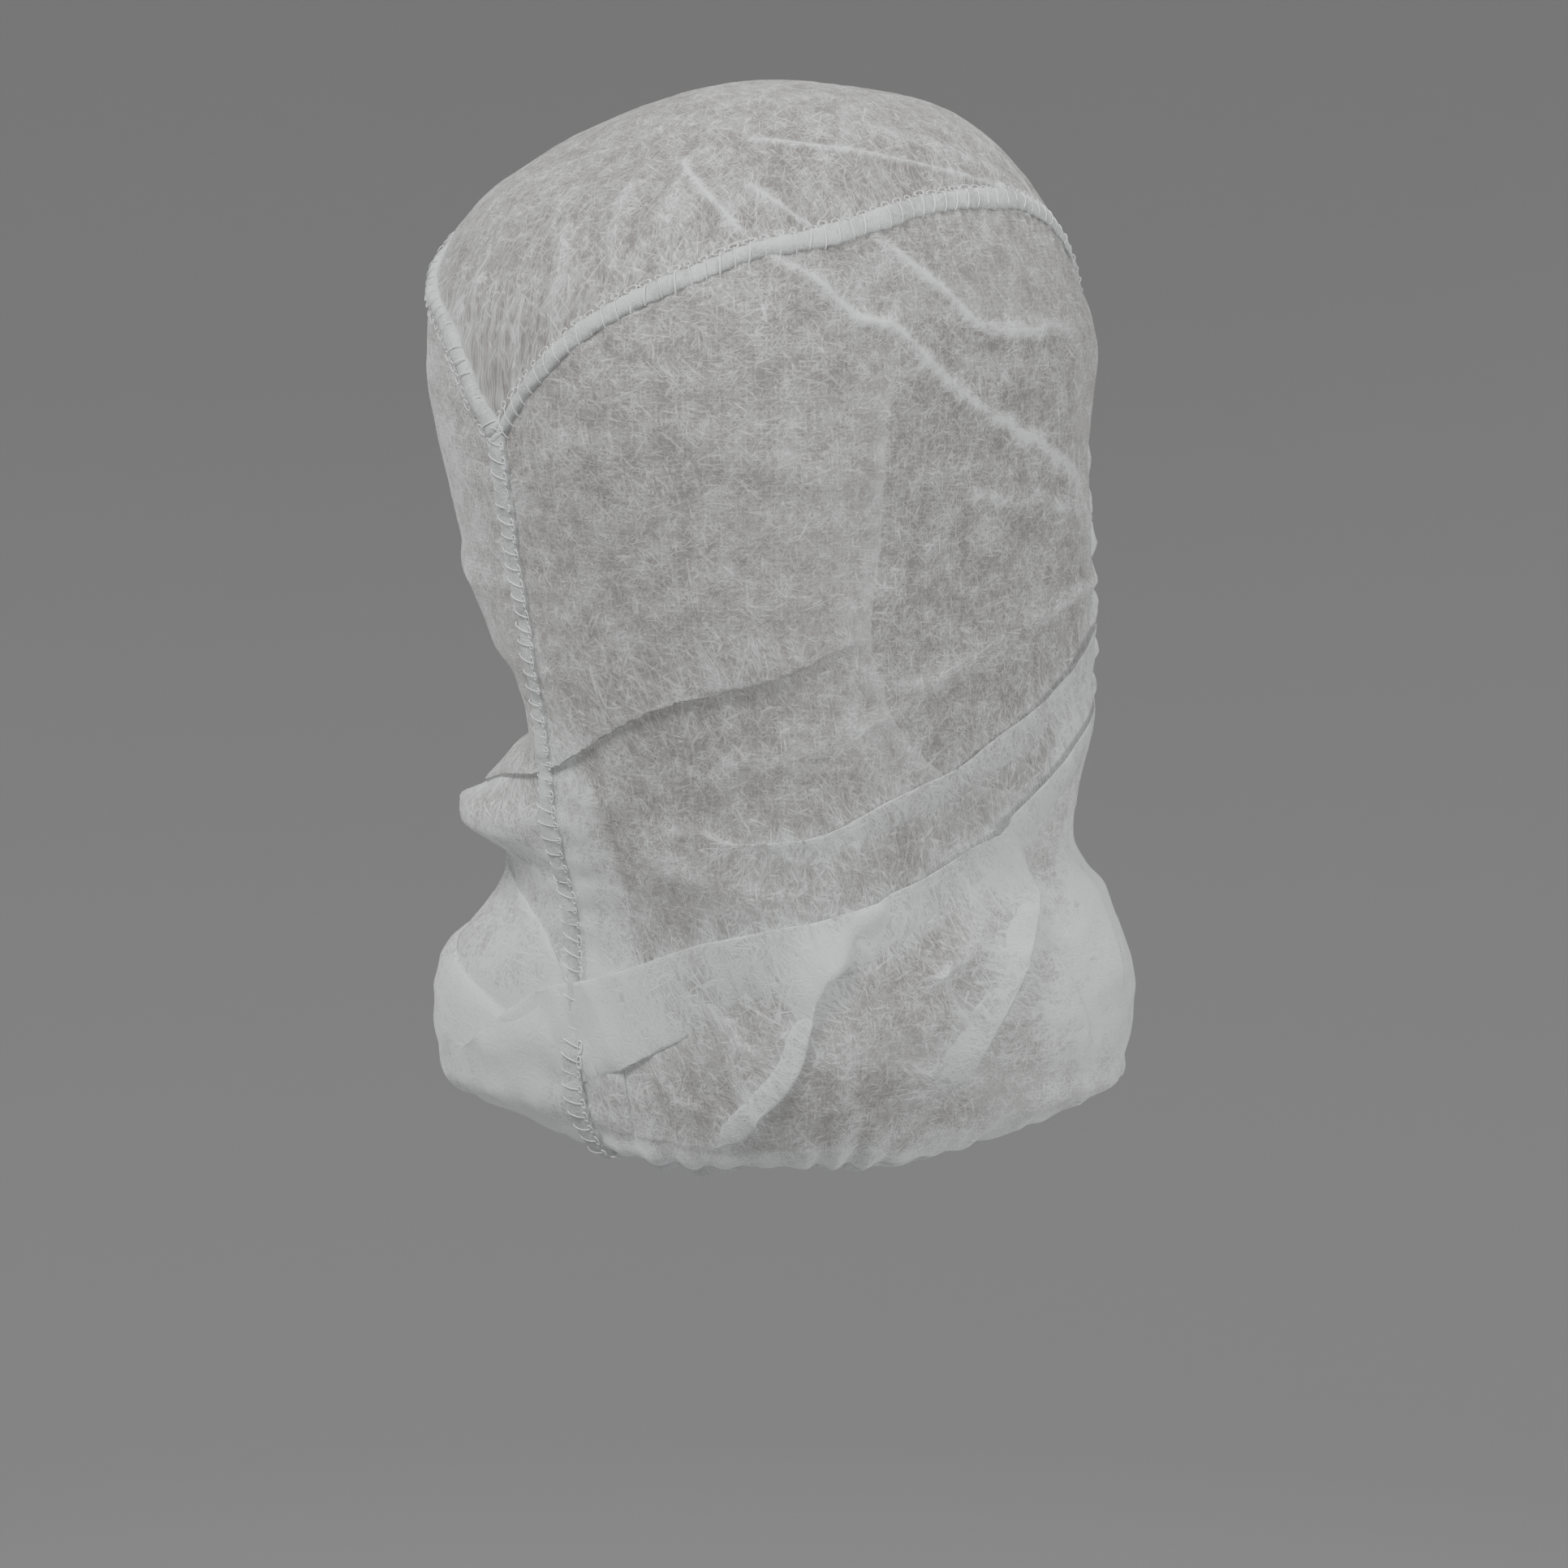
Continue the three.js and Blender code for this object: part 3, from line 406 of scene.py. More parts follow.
def seam_puckers(around, row):
    """The little waves that sewing draws into the cloth on both sides of a seam."""
    length = length_at_row(row)
    scale = degree_length(row)
    _, distance, share, _ = nearest_on_path(SEAM_PLACES, np.abs(around), length, scale)
    turn = 2 * math.pi * share
    wave = np.cos(SEAM_PUCKERS * turn + uneven(turn, SEAM_WAVES))
    back_turn = 2 * math.pi * length / BACK_PUCKER_PITCH
    back_wave = np.cos(back_turn + uneven(length / BACK_WAVE_LENGTH, BACK_WAVES))
    below_tip = eased((length - SEAM_PLACES[0, 1]) / TIP_FADE)
    back = back_wave * beside_seam(np.abs(around) * scale) * below_tip
    return PUCKER_DEPTH * (wave * beside_seam(distance) + back)


NECK_GATHERS = 38
NECK_WAVES = ((0.8, 5, 1.0), (0.5, 11, 0.0))
NECK_REACH_WAVES = ((0.5, 7, 0.0),)
NECK_PULL_WAVES = ((1.0, 4, -0.17),)
LEAST_PULL = 0.35
FACE_GATHERS = 40
FACE_WAVES = ((0.9, 6, 0.0),)
FACE_REACH_WAVES = ((0.5, 9, 0.0),)
FACE_REACH_SHARE = 1.2
GATHER_HEIGHT = 1.3
GATHER_REACH = 14.0
FACE_MID_DOWN = 0.478
FACE_HALF_HEIGHT = 71.0
FACE_HALF_ANGLE = 30.0


def face_rim(around, row):
    """About how many mm each spot is from the face opening's edge, and its turn round it."""
    down = spline_rows(SECTION_TABLE, row)[..., 0]
    across = (180 - np.abs(around)) / FACE_HALF_ANGLE
    along = (down - FACE_MID_DOWN) * HOOD_HEIGHT / FACE_HALF_HEIGHT
    rim = np.abs(np.hypot(across, along) - 1) * FACE_HALF_HEIGHT
    return rim, np.arctan2(along, across * np.sign(around))


def gathers(around, row):
    """The small pleats that the two elastics draw into the cloth beside them."""
    turn = np.radians(around)
    neck_reach = GATHER_REACH * (1 + uneven(turn, NECK_REACH_WAVES))
    neck_fade = np.exp(-(ROW_LENGTH[-1] - length_at_row(row)) / neck_reach)
    pull = LEAST_PULL + (1 - LEAST_PULL) * uneven(turn, NECK_PULL_WAVES) ** 2
    neck = np.cos(NECK_GATHERS * turn + uneven(turn, NECK_WAVES)) * neck_fade * pull
    rim, rim_turn = face_rim(around, row)
    face_reach = GATHER_REACH * (FACE_REACH_SHARE + uneven(rim_turn, FACE_REACH_WAVES))
    face_wave = np.cos(FACE_GATHERS * rim_turn + uneven(rim_turn, FACE_WAVES))
    return GATHER_HEIGHT * (neck + face_wave * np.exp(-rim / face_reach))


# Where the slack cloth is bunched into several plies: degrees around, share down, their
# two spreads, and how much less of the light comes through there.
BUNCHES = (
    # around, down, spread around, spread down, white
    (-21, 0.900, 34, 0.088, 0.80),
    (-14, 0.745, 27, 0.090, 0.55),
    (134, 0.850, 27, 0.130, 0.85),
    (150, 0.700, 26, 0.100, 0.25),
    (-128, 0.850, 30, 0.110, 0.30),
    (-27, 0.370, 20, 0.190, 0.32),
)
BUNCH_EDGE = 1.5
# How much whiter the hem and the face opening's rim are, and over how many mm.
HEM_WHITE = 0.80
HEM_REACH = 12.0
RIM_WHITE = 0.38
RIM_REACH = 22.0


def slack_plies(around, row):
    down = spline_rows(SECTION_TABLE, row)[..., 0]
    total = np.zeros(around.shape)
    for place, height, wide, tall, white in BUNCHES:
        spread = (angle_between(around, place) / wide) ** 2 + ((down - height) / tall) ** 2
        total = total + white * np.exp(-spread ** BUNCH_EDGE)
    hem = np.exp(-((ROW_LENGTH[-1] - length_at_row(row)) / HEM_REACH) ** 2)
    rim = np.exp(-(face_rim(around, row)[0] / RIM_REACH) ** 2)
    return total + HEM_WHITE * hem + RIM_WHITE * rim


# The slack pokes out at the back left in one sharp corner: shares down, and how many mm
# further out than the smooth form the cloth is there.
CORNER_DOWN = (0.585, 0.615, 0.641, 0.669, 0.700, 0.730, 0.775, 0.810)
CORNER_OUT = (0.0, 3.5, 6.0, 0.5, 3.8, -0.5, -2.0, 0.0)
CORNER_ANGLE = -40.0
CORNER_SPREAD = 24.0


def back_corner(around, row):
    out = np.interp(spline_rows(SECTION_TABLE, row)[..., 0], CORNER_DOWN, CORNER_OUT)
    return out * np.exp(-(angle_between(around, CORNER_ANGLE) / CORNER_SPREAD) ** 2)


# A strip of doubled cloth lies on the right of the back seam: shares down, and how many
# degrees around it reaches there.
FACING_DOWN = (0.50, 0.58, 0.66, 0.72, 0.86)
FACING_EDGE = (2.0, 8.0, 14.0, 16.5, 16.5)
FACING_CRISP = 2.2
FACING_WHITE = 0.34
FACING_STEP = 0.4
FACING_OPENS = 0.10
FACING_CLOSES = 0.04


def back_facing(around, row):
    down = spline_rows(SECTION_TABLE, row)[..., 0]
    edge = np.interp(down, FACING_DOWN, FACING_EDGE)
    inside = (1 - np.tanh((around - edge) * FACING_CRISP / 2)) / 2
    fade = eased((down - FACING_DOWN[0]) / FACING_OPENS) * eased((FACING_DOWN[-1] - down) / FACING_CLOSES)
    return np.where(around >= 0, inside, 0) * fade


# The cloth's own crumples. A power sharpens them into creases, and the slack at the neck
# has more of them than the crown.
CRUMPLES = (
    # size, seed, power, level, height at the crown, more at the neck
    (34.0, 3, 0, 0.0, 0.50, 0.90),
    (21.0, 5, 3, 0.35, 0.25, 0.60),
    (12.0, 6, 4, 0.30, 0.10, 0.25),
    (8.0, 7, 0, 0.0, 0.22, 0.0),
    (3.4, 9, 0, 0.0, 0.09, 0.0),
)
PLY_CRUMPLES = (
    # size, seed, power, plies
    (21.0, 5, 6, 0.10),
    (12.0, 6, 8, 0.08),
    (15.0, 13, 0, 0.06),
)
SLACK_FROM = 130.0
SLACK_OVER = 120.0
GATHER_PLIES = 0.10
UNDER_FOLD_LIFT = 0.15


def creased(points, size, seed, power):
    value = crumple(points, size, seed)
    return (1 - np.abs(value)) ** power if power else value


def crumpled(points):
    """How high the crumples stand at each point in mm, and how many plies they add."""
    low = np.clip((-points[..., 2] - SLACK_FROM) / SLACK_OVER, 0, 1)
    height = 0
    for size, seed, power, level, crown, more in CRUMPLES:
        height = height + (crown + more * low) * (creased(points, size, seed, power) - level)
    plies = sum(share * creased(points, size, seed, power) for size, seed, power, share in PLY_CRUMPLES)
    return height, plies


def draped_cloth(around, row, doubled=True):
    """The draped cloth: the smooth form with its folds, gathers and crumples, in mm, and
    how many more plies than one lie at each spot. Without "doubled" it is what runs under
    the folds, as a sewn seam does."""
    around = np.asarray(around, float)
    row = np.asarray(row, float)
    moved_around, moved_row, fold_lift, bunched = folded(around, row)
    if not doubled:
        moved_around, moved_row, fold_lift = around, row, UNDER_FOLD_LIFT * fold_lift
    point = smooth_point(moved_around, moved_row)
    normal = smooth_normal(moved_around, moved_row)
    crumple_height, crumple_plies = crumpled(smooth_point(around, row))
    drawn = gathers(around, row) + seam_puckers(around, row)
    facing = back_facing(around, row)
    height = fold_lift + drawn + crumple_height + FACING_STEP * facing
    height = height + back_corner(moved_around, moved_row)
    plies = bunched + slack_plies(around, row) + FACING_WHITE * facing
    plies = plies + crumple_plies + GATHER_PLIES * drawn
    return point + normal * height[..., None], plies


def hood_point(around, row, doubled=True):
    return draped_cloth(around, row, doubled)[0]


# A place well inside the hood, which the cloth's faces look away from, and how many mm of
# cloth one unit of its pattern covers.
CLOTH_MIDDLE = np.array((0.0, 0.0, -150.0))
PATTERN_MM = 100.0


def in_scene(name, data):
    piece = bpy.data.objects.new(name, data)
    bpy.context.collection.objects.link(piece)
    return piece


def cloth_piece(name, points, faces, corner_places, plies):
    """A smooth mesh of points in mm, with the pattern's place at each face corner in mm and
    the plies at each point."""
    mesh = bpy.data.meshes.new(name)
    mesh.from_pydata((points * MM).tolist(), [], faces)
    layer = mesh.uv_layers.new(name="cloth")
    layer.data.foreach_set("uv", (corner_places / PATTERN_MM).ravel())
    values = mesh.attributes.new("plies", "FLOAT", "POINT").data
    values.foreach_set("value", plies.ravel().astype(np.float32))
    mesh.polygons.foreach_set("use_smooth", np.ones(len(faces), bool))
    mesh.update()
    return in_scene(name, mesh)


def cloth_mesh(name, points, places, plies):
    """A sheet of cloth from a grid of points in mm, with outward faces."""
    rows, columns = points.shape[:2]
    index = np.arange(rows * columns).reshape(rows, columns)
    corners = (index[:-1, :-1], index[:-1, 1:], index[1:, 1:], index[1:, :-1])
    faces = np.stack(corners, -1).reshape(-1, 4)
    flat = points.reshape(-1, 3)
    first = flat[faces[:, 1]] - flat[faces[:, 0]]
    second = flat[faces[:, 3]] - flat[faces[:, 0]]
    if (np.cross(first, second) * (flat[faces[:, 0]] - CLOTH_MIDDLE)).sum() < 0:
        faces = faces[:, ::-1]
    return cloth_piece(name, flat, faces.tolist(), places.reshape(-1, 2)[faces.ravel()], plies)


def link(tree, start, end):
    tree.links.new(start, end)


def add_node(tree, kind, **values):
    node = tree.nodes.new(kind)
    for name, value in values.items():
        if name in node.inputs:
            node.inputs[name].default_value = value
        else:
            setattr(node, name, value)
    return node


FIBRE_ANGLES = (0.15, 0.80, 1.45, 2.10, 2.75)
FIBRE_SHIFT = (3.7, 1.9)
FIBRE_STRETCH = (17, 130, 1)
FIBRE_FROM = 0.52
FIBRE_TO = 0.72


def fibre_strands(tree, uv):
    """Fine fibres lying every way, as one value that is high on a fibre."""
    fibres = None
    for number, angle in enumerate(FIBRE_ANGLES):
        shift = (number * FIBRE_SHIFT[0], number * FIBRE_SHIFT[1], 0)
        turn = add_node(tree, "ShaderNodeMapping", Rotation=(0, 0, angle), Location=shift)
        link(tree, uv, turn.inputs["Vector"])
        stretch = add_node(tree, "ShaderNodeMapping", Scale=FIBRE_STRETCH)
        link(tree, turn.outputs["Vector"], stretch.inputs["Vector"])
        strands = add_node(tree, "ShaderNodeTexNoise", Scale=1.0, Detail=2.0, Roughness=0.6, Distortion=1.3)
        strands.noise_dimensions = "2D"
        link(tree, stretch.outputs["Vector"], strands.inputs["Vector"])
        ridge = add_node(tree, "ShaderNodeMapRange")
        ridge.inputs["From Min"].default_value = FIBRE_FROM
        ridge.inputs["From Max"].default_value = FIBRE_TO
        link(tree, strands.outputs["Fac"], ridge.inputs["Value"])
        if fibres is None:
            fibres = ridge.outputs["Result"]
        else:
            most = add_node(tree, "ShaderNodeMath", operation="MAXIMUM")
            link(tree, fibres, most.inputs[0])
            link(tree, ridge.outputs["Result"], most.inputs[1])
            fibres = most.outputs["Value"]
    return fibres


def weighted(tree, value, weight, addend):
    """Value times weight, plus a number or another value."""
    node = add_node(tree, "ShaderNodeMath", operation="MULTIPLY_ADD")
    node.inputs[1].default_value = weight
    link(tree, value, node.inputs[0])
    if isinstance(addend, float):
        node.inputs[2].default_value = addend
    else:
        link(tree, addend, node.inputs[2])
    return node.outputs["Value"]


# How much each of these adds to the cover: thick patches, fibres and the thin bond points.
PATCH_WEIGHT = 1.5
PATCH_LEVEL = -0.62
FIBRE_WEIGHT = 0.66
BOND_WEIGHT = -0.25


def cloth_material(name, gap_painted_shade, fibre_colour, thin, dense):
    """Spunbond cloth: fine fibres lying every way, denser and thinner patches, and the
    grid of tiny bond points. "thin" and "dense" are how opaque the gaps and the fibres are.
    The gaps are coloured with painted shade, a grey for the shaded inside seen through them."""
    material = bpy.data.materials.new(name)
    material.use_nodes = True
    tree = material.node_tree
    tree.nodes.clear()
    output = add_node(tree, "ShaderNodeOutputMaterial")
    uv = add_node(tree, "ShaderNodeUVMap", uv_map="cloth").outputs["UV"]
    fibres = fibre_strands(tree, uv)
    cloud = add_node(tree, "ShaderNodeTexNoise", Scale=11.0, Detail=6.0, Roughness=0.78)
    cloud.noise_dimensions = "2D"
    link(tree, uv, cloud.inputs["Vector"])
    dots = add_node(tree, "ShaderNodeTexVoronoi", Scale=85.0, Randomness=0.12)
    dots.voronoi_dimensions = "2D"
    link(tree, uv, dots.inputs["Vector"])
    plies = add_node(tree, "ShaderNodeAttribute", attribute_name="plies")

    patchy = weighted(tree, cloud.outputs["Fac"], PATCH_WEIGHT, PATCH_LEVEL)
    fibrous = weighted(tree, fibres, FIBRE_WEIGHT, patchy)
    bonded = weighted(tree, dots.outputs["Distance"], BOND_WEIGHT, fibrous)
    covered = weighted(tree, plies.outputs["Fac"], 1.0, bonded)
    opacity = add_node(tree, "ShaderNodeMapRange")
    opacity.inputs["To Min"].default_value = thin
    opacity.inputs["To Max"].default_value = dense
    link(tree, covered, opacity.inputs["Value"])

    # Painted shade: the gaps are coloured grey for the shaded inside of the hood seen through them, and
    # more cover and plies turn that grey to the fibres' white.
    tint = add_node(tree, "ShaderNodeMix", data_type="RGBA")
    tint.inputs[6].default_value = gap_painted_shade + (1,)
    tint.inputs[7].default_value = fibre_colour + (1,)
    link(tree, covered, tint.inputs[0])
    bump = add_node(tree, "ShaderNodeBump", Strength=0.45, Distance=0.0004)
    link(tree, bonded, bump.inputs["Height"])
    cloth = add_node(tree, "ShaderNodeBsdfPrincipled", Roughness=0.82)
    cloth.inputs["Sheen Weight"].default_value = 0.55
    cloth.inputs["Sheen Roughness"].default_value = 0.4
    cloth.inputs["Specular IOR Level"].default_value = 0.25
    link(tree, tint.outputs[2], cloth.inputs["Base Color"])
    link(tree, bump.outputs["Normal"], cloth.inputs["Normal"])
    glow = add_node(tree, "ShaderNodeBsdfTranslucent")
    link(tree, tint.outputs[2], glow.inputs["Color"])
    body = add_node(tree, "ShaderNodeMixShader", Fac=0.3)
    link(tree, cloth.outputs["BSDF"], body.inputs[1])
    link(tree, glow.outputs["BSDF"], body.inputs[2])
    clear = add_node(tree, "ShaderNodeBsdfTransparent")
    surface = add_node(tree, "ShaderNodeMixShader")
    link(tree, opacity.outputs["Result"], surface.inputs["Fac"])
    link(tree, clear.outputs["BSDF"], surface.inputs[1])
    link(tree, body.outputs["Shader"], surface.inputs[2])
    link(tree, surface.outputs["Shader"], output.inputs["Surface"])
    return material


# The grey of the gaps is painted shade, the dark inside of the hood seen through the thin cloth. The
# fibres' white is the cloth's own colour.
GAP_PAINTED_SHADE = (0.35, 0.325, 0.305)
FIBRE_WHITE = (0.90, 0.915, 0.92)
CLOTH_MATERIAL = cloth_material("spunbond_cloth", GAP_PAINTED_SHADE, FIBRE_WHITE, thin=0.52, dense=0.97)
GUSSET_COLUMNS = 190
GUSSET_ROWS = 300
POINT_SHARE = 0.012
BROW_SHARE = 0.8


def gusset_grid(columns, rows):
    """Places of the gusset, from its point to the brow, between its two seams."""
    along = np.linspace(POINT_SHARE, 1, rows + 1)
    across = np.linspace(-1, 1, columns + 1)
    seam = curve_at(GUSSET_CURVE, along)
    side = seam[:, 1] * np.sin(np.radians(seam[:, 0]))
    middle = seam[:, 1] * np.cos(np.radians(seam[:, 0]))
    ease = np.clip((along - BROW_SHARE) / (1 - BROW_SHARE), 0, 1) ** 2
    bulge = ease * (FACE_TOP_ROW + middle[-1])
    x = side[:, None] * across[None, :]
    y = middle[:, None] - bulge[:, None] * (1 - across[None, :] ** 2)
    return np.degrees(np.arctan2(x, y)), np.hypot(x, y)


gusset_around, gusset_row = gusset_grid(GUSSET_COLUMNS, GUSSET_ROWS)
gusset_points, gusset_plies = draped_cloth(gusset_around, gusset_row)
gusset_flat = smooth_point(gusset_around, gusset_row)[..., :2]
crown_gusset = cloth_mesh("crown_gusset_cloth", gusset_points, gusset_flat, gusset_plies)
crown_gusset.data.materials.append(CLOTH_MATERIAL)
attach(crown_gusset, "root")
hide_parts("crown_gusset")

# Side panels. Each is one piece of the same non-woven, from the gusset seam down to the
# neck edge, sewn to its twin at the centre back and under the chin. The neck is cut far
# too wide, so it hangs in slack folds between the two elastics.
CHIN_SHARE = 0.36
PANEL_DEGREE_MM = 1.43
PANELS = (
    # node, side, columns, rows
    ("side_panel_right", 1, 300, 270),
    ("side_panel_left", -1, 230, 220),
)


def panel_edge_places(share_across, share_up):
    bottom = np.stack([180 * share_across, np.full_like(share_across, LAST_ROW)], -1)
    top = curve_at(GUSSET_CURVE, share_across)
    back = np.stack([np.zeros_like(share_up), LAST_ROW + (TIP_ROW - LAST_ROW) * share_up], -1)
    chin_rows = LAST_ROW + (CHIN_ROW - LAST_ROW) * share_up / CHIN_SHARE
    chin = np.stack([np.full_like(share_up, 180.0), chin_rows], -1)
    face = curve_at(FACE_CURVE, 1 - (share_up - CHIN_SHARE) / (1 - CHIN_SHARE))
    front = np.where((share_up < CHIN_SHARE)[:, None], chin, face)
    return bottom, top, back, front


def panel_grid(columns, rows):
    """Places of a side panel, blended from its four edges."""
    across = np.linspace(0, 1, columns + 1)
    up = np.linspace(0, 1, rows + 1)
    bottom, top, back, front = panel_edge_places(across, up)
    s = across[None, :, None]
    t = up[:, None, None]
    places = (1 - t) * bottom[None] + t * top[None] + (1 - s) * back[:, None] + s * front[:, None]
    places = places - (1 - s) * (1 - t) * bottom[0] - s * (1 - t) * bottom[-1]
    places = places - (1 - s) * t * top[0] - s * t * top[-1]
    return places[..., 0], places[..., 1]


def side_panel(name, side, columns, rows):
    around, row = panel_grid(columns, rows)
    points, plies = draped_cloth(side * around, row)
    places = np.stack([side * around * PANEL_DEGREE_MM, -length_at_row(row)], -1)
    return cloth_mesh(name, points, places, plies)


for node, side, columns, rows in PANELS:
    panel = side_panel(node + "_cloth", side, columns, rows)
    panel.data.materials.append(CLOTH_MATERIAL)
    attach(panel, "root")
    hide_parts(node)

# Rolled seams. Both edges are turned together into a soft round roll about 5 mm wide and
# held by white overlock thread, which bridges the roll every few millimetres. Two run
# beside the gusset, one down the centre back and a short one under the chin.
STITCH_PITCH = 4.3
SEAM_SIDES = 12
SEAM_LINE_PITCH = 0.8
SEAM_DRIFT = 0.9
SEAM_DRIFT_SIZE = 24.0
SEAM_DRIFT_SEED = 29
STITCH_PINCH = 0.05
ROLL_LIFT = 0.35
ROLL_END = 2.0
LEAST_END = 0.05
ROLL_SIDE_MM = 0.9
ROLL_PLIES = 0.5

# What makes a roll uneven. Each crumple is a height or a share, a size in mm and a number
# to add to the seed.
WIDTH_CRUMPLES = ((0.338, 36.0, 9), (0.208, 14.0, 0), (0.130, 5.0, 3))
HEIGHT_CRUMPLES = ((0.35, 7.0, 1),)
GRAIN_CRUMPLES = ((0.22, 2.4, 2),)
ROLL_PLY_CRUMPLES = ((0.5, 5.0, 4),)


def seam_line(places, pitch, doubled=False):
    """Points along a seam with their sideways and outward directions, evenly spaced."""
    points = hood_point(places[:, 0], places[:, 1], doubled)
    run = np.concatenate([[0], np.cumsum(np.linalg.norm(np.diff(points, axis=0), axis=1))])
    count = int(run[-1] / pitch)
    even = np.linspace(0, run[-1], count + 1)
    normals = smooth_normal(places[:, 0], places[:, 1])
    line = np.stack([np.interp(even, run, points[:, axis]) for axis in range(3)], -1)
    normal = np.stack([np.interp(even, run, normals[:, axis]) for axis in range(3)], -1)
    tangent = np.gradient(line, axis=0)
    tangent /= np.linalg.norm(tangent, axis=1, keepdims=True)
    normal -= (normal * tangent).sum(1, keepdims=True) * tangent
    normal /= np.linalg.norm(normal, axis=1, keepdims=True)
    sideways = np.cross(tangent, normal)
    drift = SEAM_DRIFT * crumple(line, SEAM_DRIFT_SIZE, SEAM_DRIFT_SEED)
    return line + sideways * drift[:, None], sideways, normal, even


def wandering(points, crumples, seed):
    return sum(height * crumple(points, size, seed + step) for height, size, step in crumples)


def roll_mesh(name, line, sideways, outward, even, seed, half_width, half_height, closed=False):
    """A soft flattened roll along a line, pinched by each stitch and closed at its ends."""
    count = len(line)
    turn = np.linspace(0, 2 * math.pi, SEAM_SIDES, endpoint=False)
    pinch = 1 - STITCH_PINCH * np.cos(2 * math.pi * even / STITCH_PITCH)
    width = half_width * pinch * (1 + wandering(line, WIDTH_CRUMPLES, seed))
    height = half_height * (1 + wandering(line, HEIGHT_CRUMPLES, seed))
    if not closed:
        ends = np.sqrt(np.clip(np.minimum(even, even[-1] - even) / ROLL_END, LEAST_END, 1))
        width = width * ends
        height = height * ends
    ring = line[:, None] + sideways[:, None] * (width[:, None] * np.cos(turn))[..., None]
    ring = ring + outward[:, None] * (ROLL_LIFT + height[:, None] * np.sin(turn))[..., None]
    ring = ring + outward[:, None] * wandering(ring, GRAIN_CRUMPLES, seed)[..., None]
    index = np.arange(count * SEAM_SIDES).reshape(count, SEAM_SIDES)
    beside = np.roll(index, -1, axis=1)
    stop = count if closed else count - 1
    after = np.roll(index, -1, axis=0)[:stop]
    after_beside = np.roll(beside, -1, axis=0)[:stop]
    faces = np.stack([index[:stop], beside[:stop], after_beside, after], -1).reshape(-1, 4).tolist()
    if not closed:
        faces.append(index[0, ::-1].tolist())
        faces.append(index[-1].tolist())
    corners = np.concatenate(faces)
    places = np.stack([even[corners // SEAM_SIDES], (corners % SEAM_SIDES) * ROLL_SIDE_MM], -1)
    points = ring.reshape(-1, 3)
    plies = ROLL_PLIES + wandering(points, ROLL_PLY_CRUMPLES, seed)
    return cloth_piece(name, points, faces, places, plies)


# The grey of the rolls' gaps is painted shade, the dark inside of the roll seen through the thin cloth. The
# white is the cloth's own colour.
ROLL_PAINTED_SHADE = (0.56, 0.57, 0.57)
ROLL_WHITE = (0.84, 0.855, 0.86)
SEAM_MATERIAL = cloth_material("rolled_seam_cloth", ROLL_PAINTED_SHADE, ROLL_WHITE, thin=0.82, dense=1.0)
MIDDLE_STEPS = 300
POINT_OVERLAP = 0.12


def gusset_seam_places(side):
    places = GUSSET_CURVE.copy()
    places[:, 0] *= side
    return places


def middle_places(around, top_row):
    rows = np.linspace(top_row, LAST_ROW, MIDDLE_STEPS)
    return np.stack([np.full_like(rows, around), rows], -1)


SEAMS = (
    # node, places, seed, half width, half height
    ("gusset_seam_right", gusset_seam_places(1), 11, 2.5, 1.2),
    ("gusset_seam_left", gusset_seam_places(-1), 17, 3.1, 2.1),
    ("back_seam", middle_places(0.0, TIP_ROW - POINT_OVERLAP), 23, 3.2, 2.0),
    ("chin_seam", middle_places(180.0, CHIN_ROW), 31, 2.9, 1.2),
)
for node, places, seed, half_width, half_height in SEAMS:
    line, sideways, outward, even = seam_line(places, SEAM_LINE_PITCH)
    seam = roll_mesh(node + "_roll", line, sideways, outward, even, seed, half_width, half_height)
    seam.data.materials.append(SEAM_MATERIAL)
    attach(seam, "root")
    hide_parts(node)

# Overlock thread. White spun polyester, sewn over each roll every few millimetres and
# locked in a small loop at the roll's edge. Every stitch is pulled a little differently.
THREAD_RADIUS = 0.17
THREAD_WHITE = (0.95, 0.955, 0.95)
THREAD_SHADE = 0.84
STITCHED_HEIGHT = 1.15

# One stitch in metres, for a roll of the usual width: the thread over it and its loop.
OVER_THREAD = (
    ("Start", (-0.0010, -0.0031, 0.0000)),
    ("Start Handle", (-0.0006, -0.0022, 0.0019)),
    ("End Handle", (0.0006, 0.0022, 0.0019)),
    ("End", (0.0010, 0.0031, 0.0000)),
)
LOOP_RADIUS = 0.0010
LOOP_PLACE = (0.0008, 0.0033, 0.0004)
LOOP_STRETCH = (1.5, 0.8, 1.0)
LEAST_STITCH = (0.55, 0.88, 0.80)
LARGEST_STITCH = (1.35, 1.08, 1.05)


def thread_material():
    """White spun polyester thread, with a faint twist along it."""
    material = bpy.data.materials.new("overlock_thread")
    material.use_nodes = True
    tree = material.node_tree
    shader = tree.nodes["Principled BSDF"]
    spot = add_node(tree, "ShaderNodeTexCoord")
    twist = add_node(tree, "ShaderNodeTexNoise", Scale=2600.0, Detail=1.0)
    link(tree, spot.outputs["Object"], twist.inputs["Vector"])
    tint = add_node(tree, "ShaderNodeMix", data_type="RGBA")
    tint.inputs[6].default_value = tuple(THREAD_SHADE * part for part in THREAD_WHITE) + (1,)
    tint.inputs[7].default_value = THREAD_WHITE + (1,)
    link(tree, twist.outputs["Fac"], tint.inputs[0])
    link(tree, tint.outputs[2], shader.inputs["Base Color"])
    shader.inputs["Roughness"].default_value = 0.6
    shader.inputs["Sheen Weight"].default_value = 0.3
    return material


def thread_along(tree, curve, thread_radius):
    """A round thread of four sides along a curve."""
    around_thread = add_node(tree, "GeometryNodeCurvePrimitiveCircle", Resolution=4)
    link(tree, thread_radius, around_thread.inputs["Radius"])
    thread = add_node(tree, "GeometryNodeCurveToMesh")
    link(tree, curve, thread.inputs["Curve"])
    link(tree, around_thread.outputs["Curve"], thread.inputs["Profile Curve"])
    return thread.outputs["Mesh"]


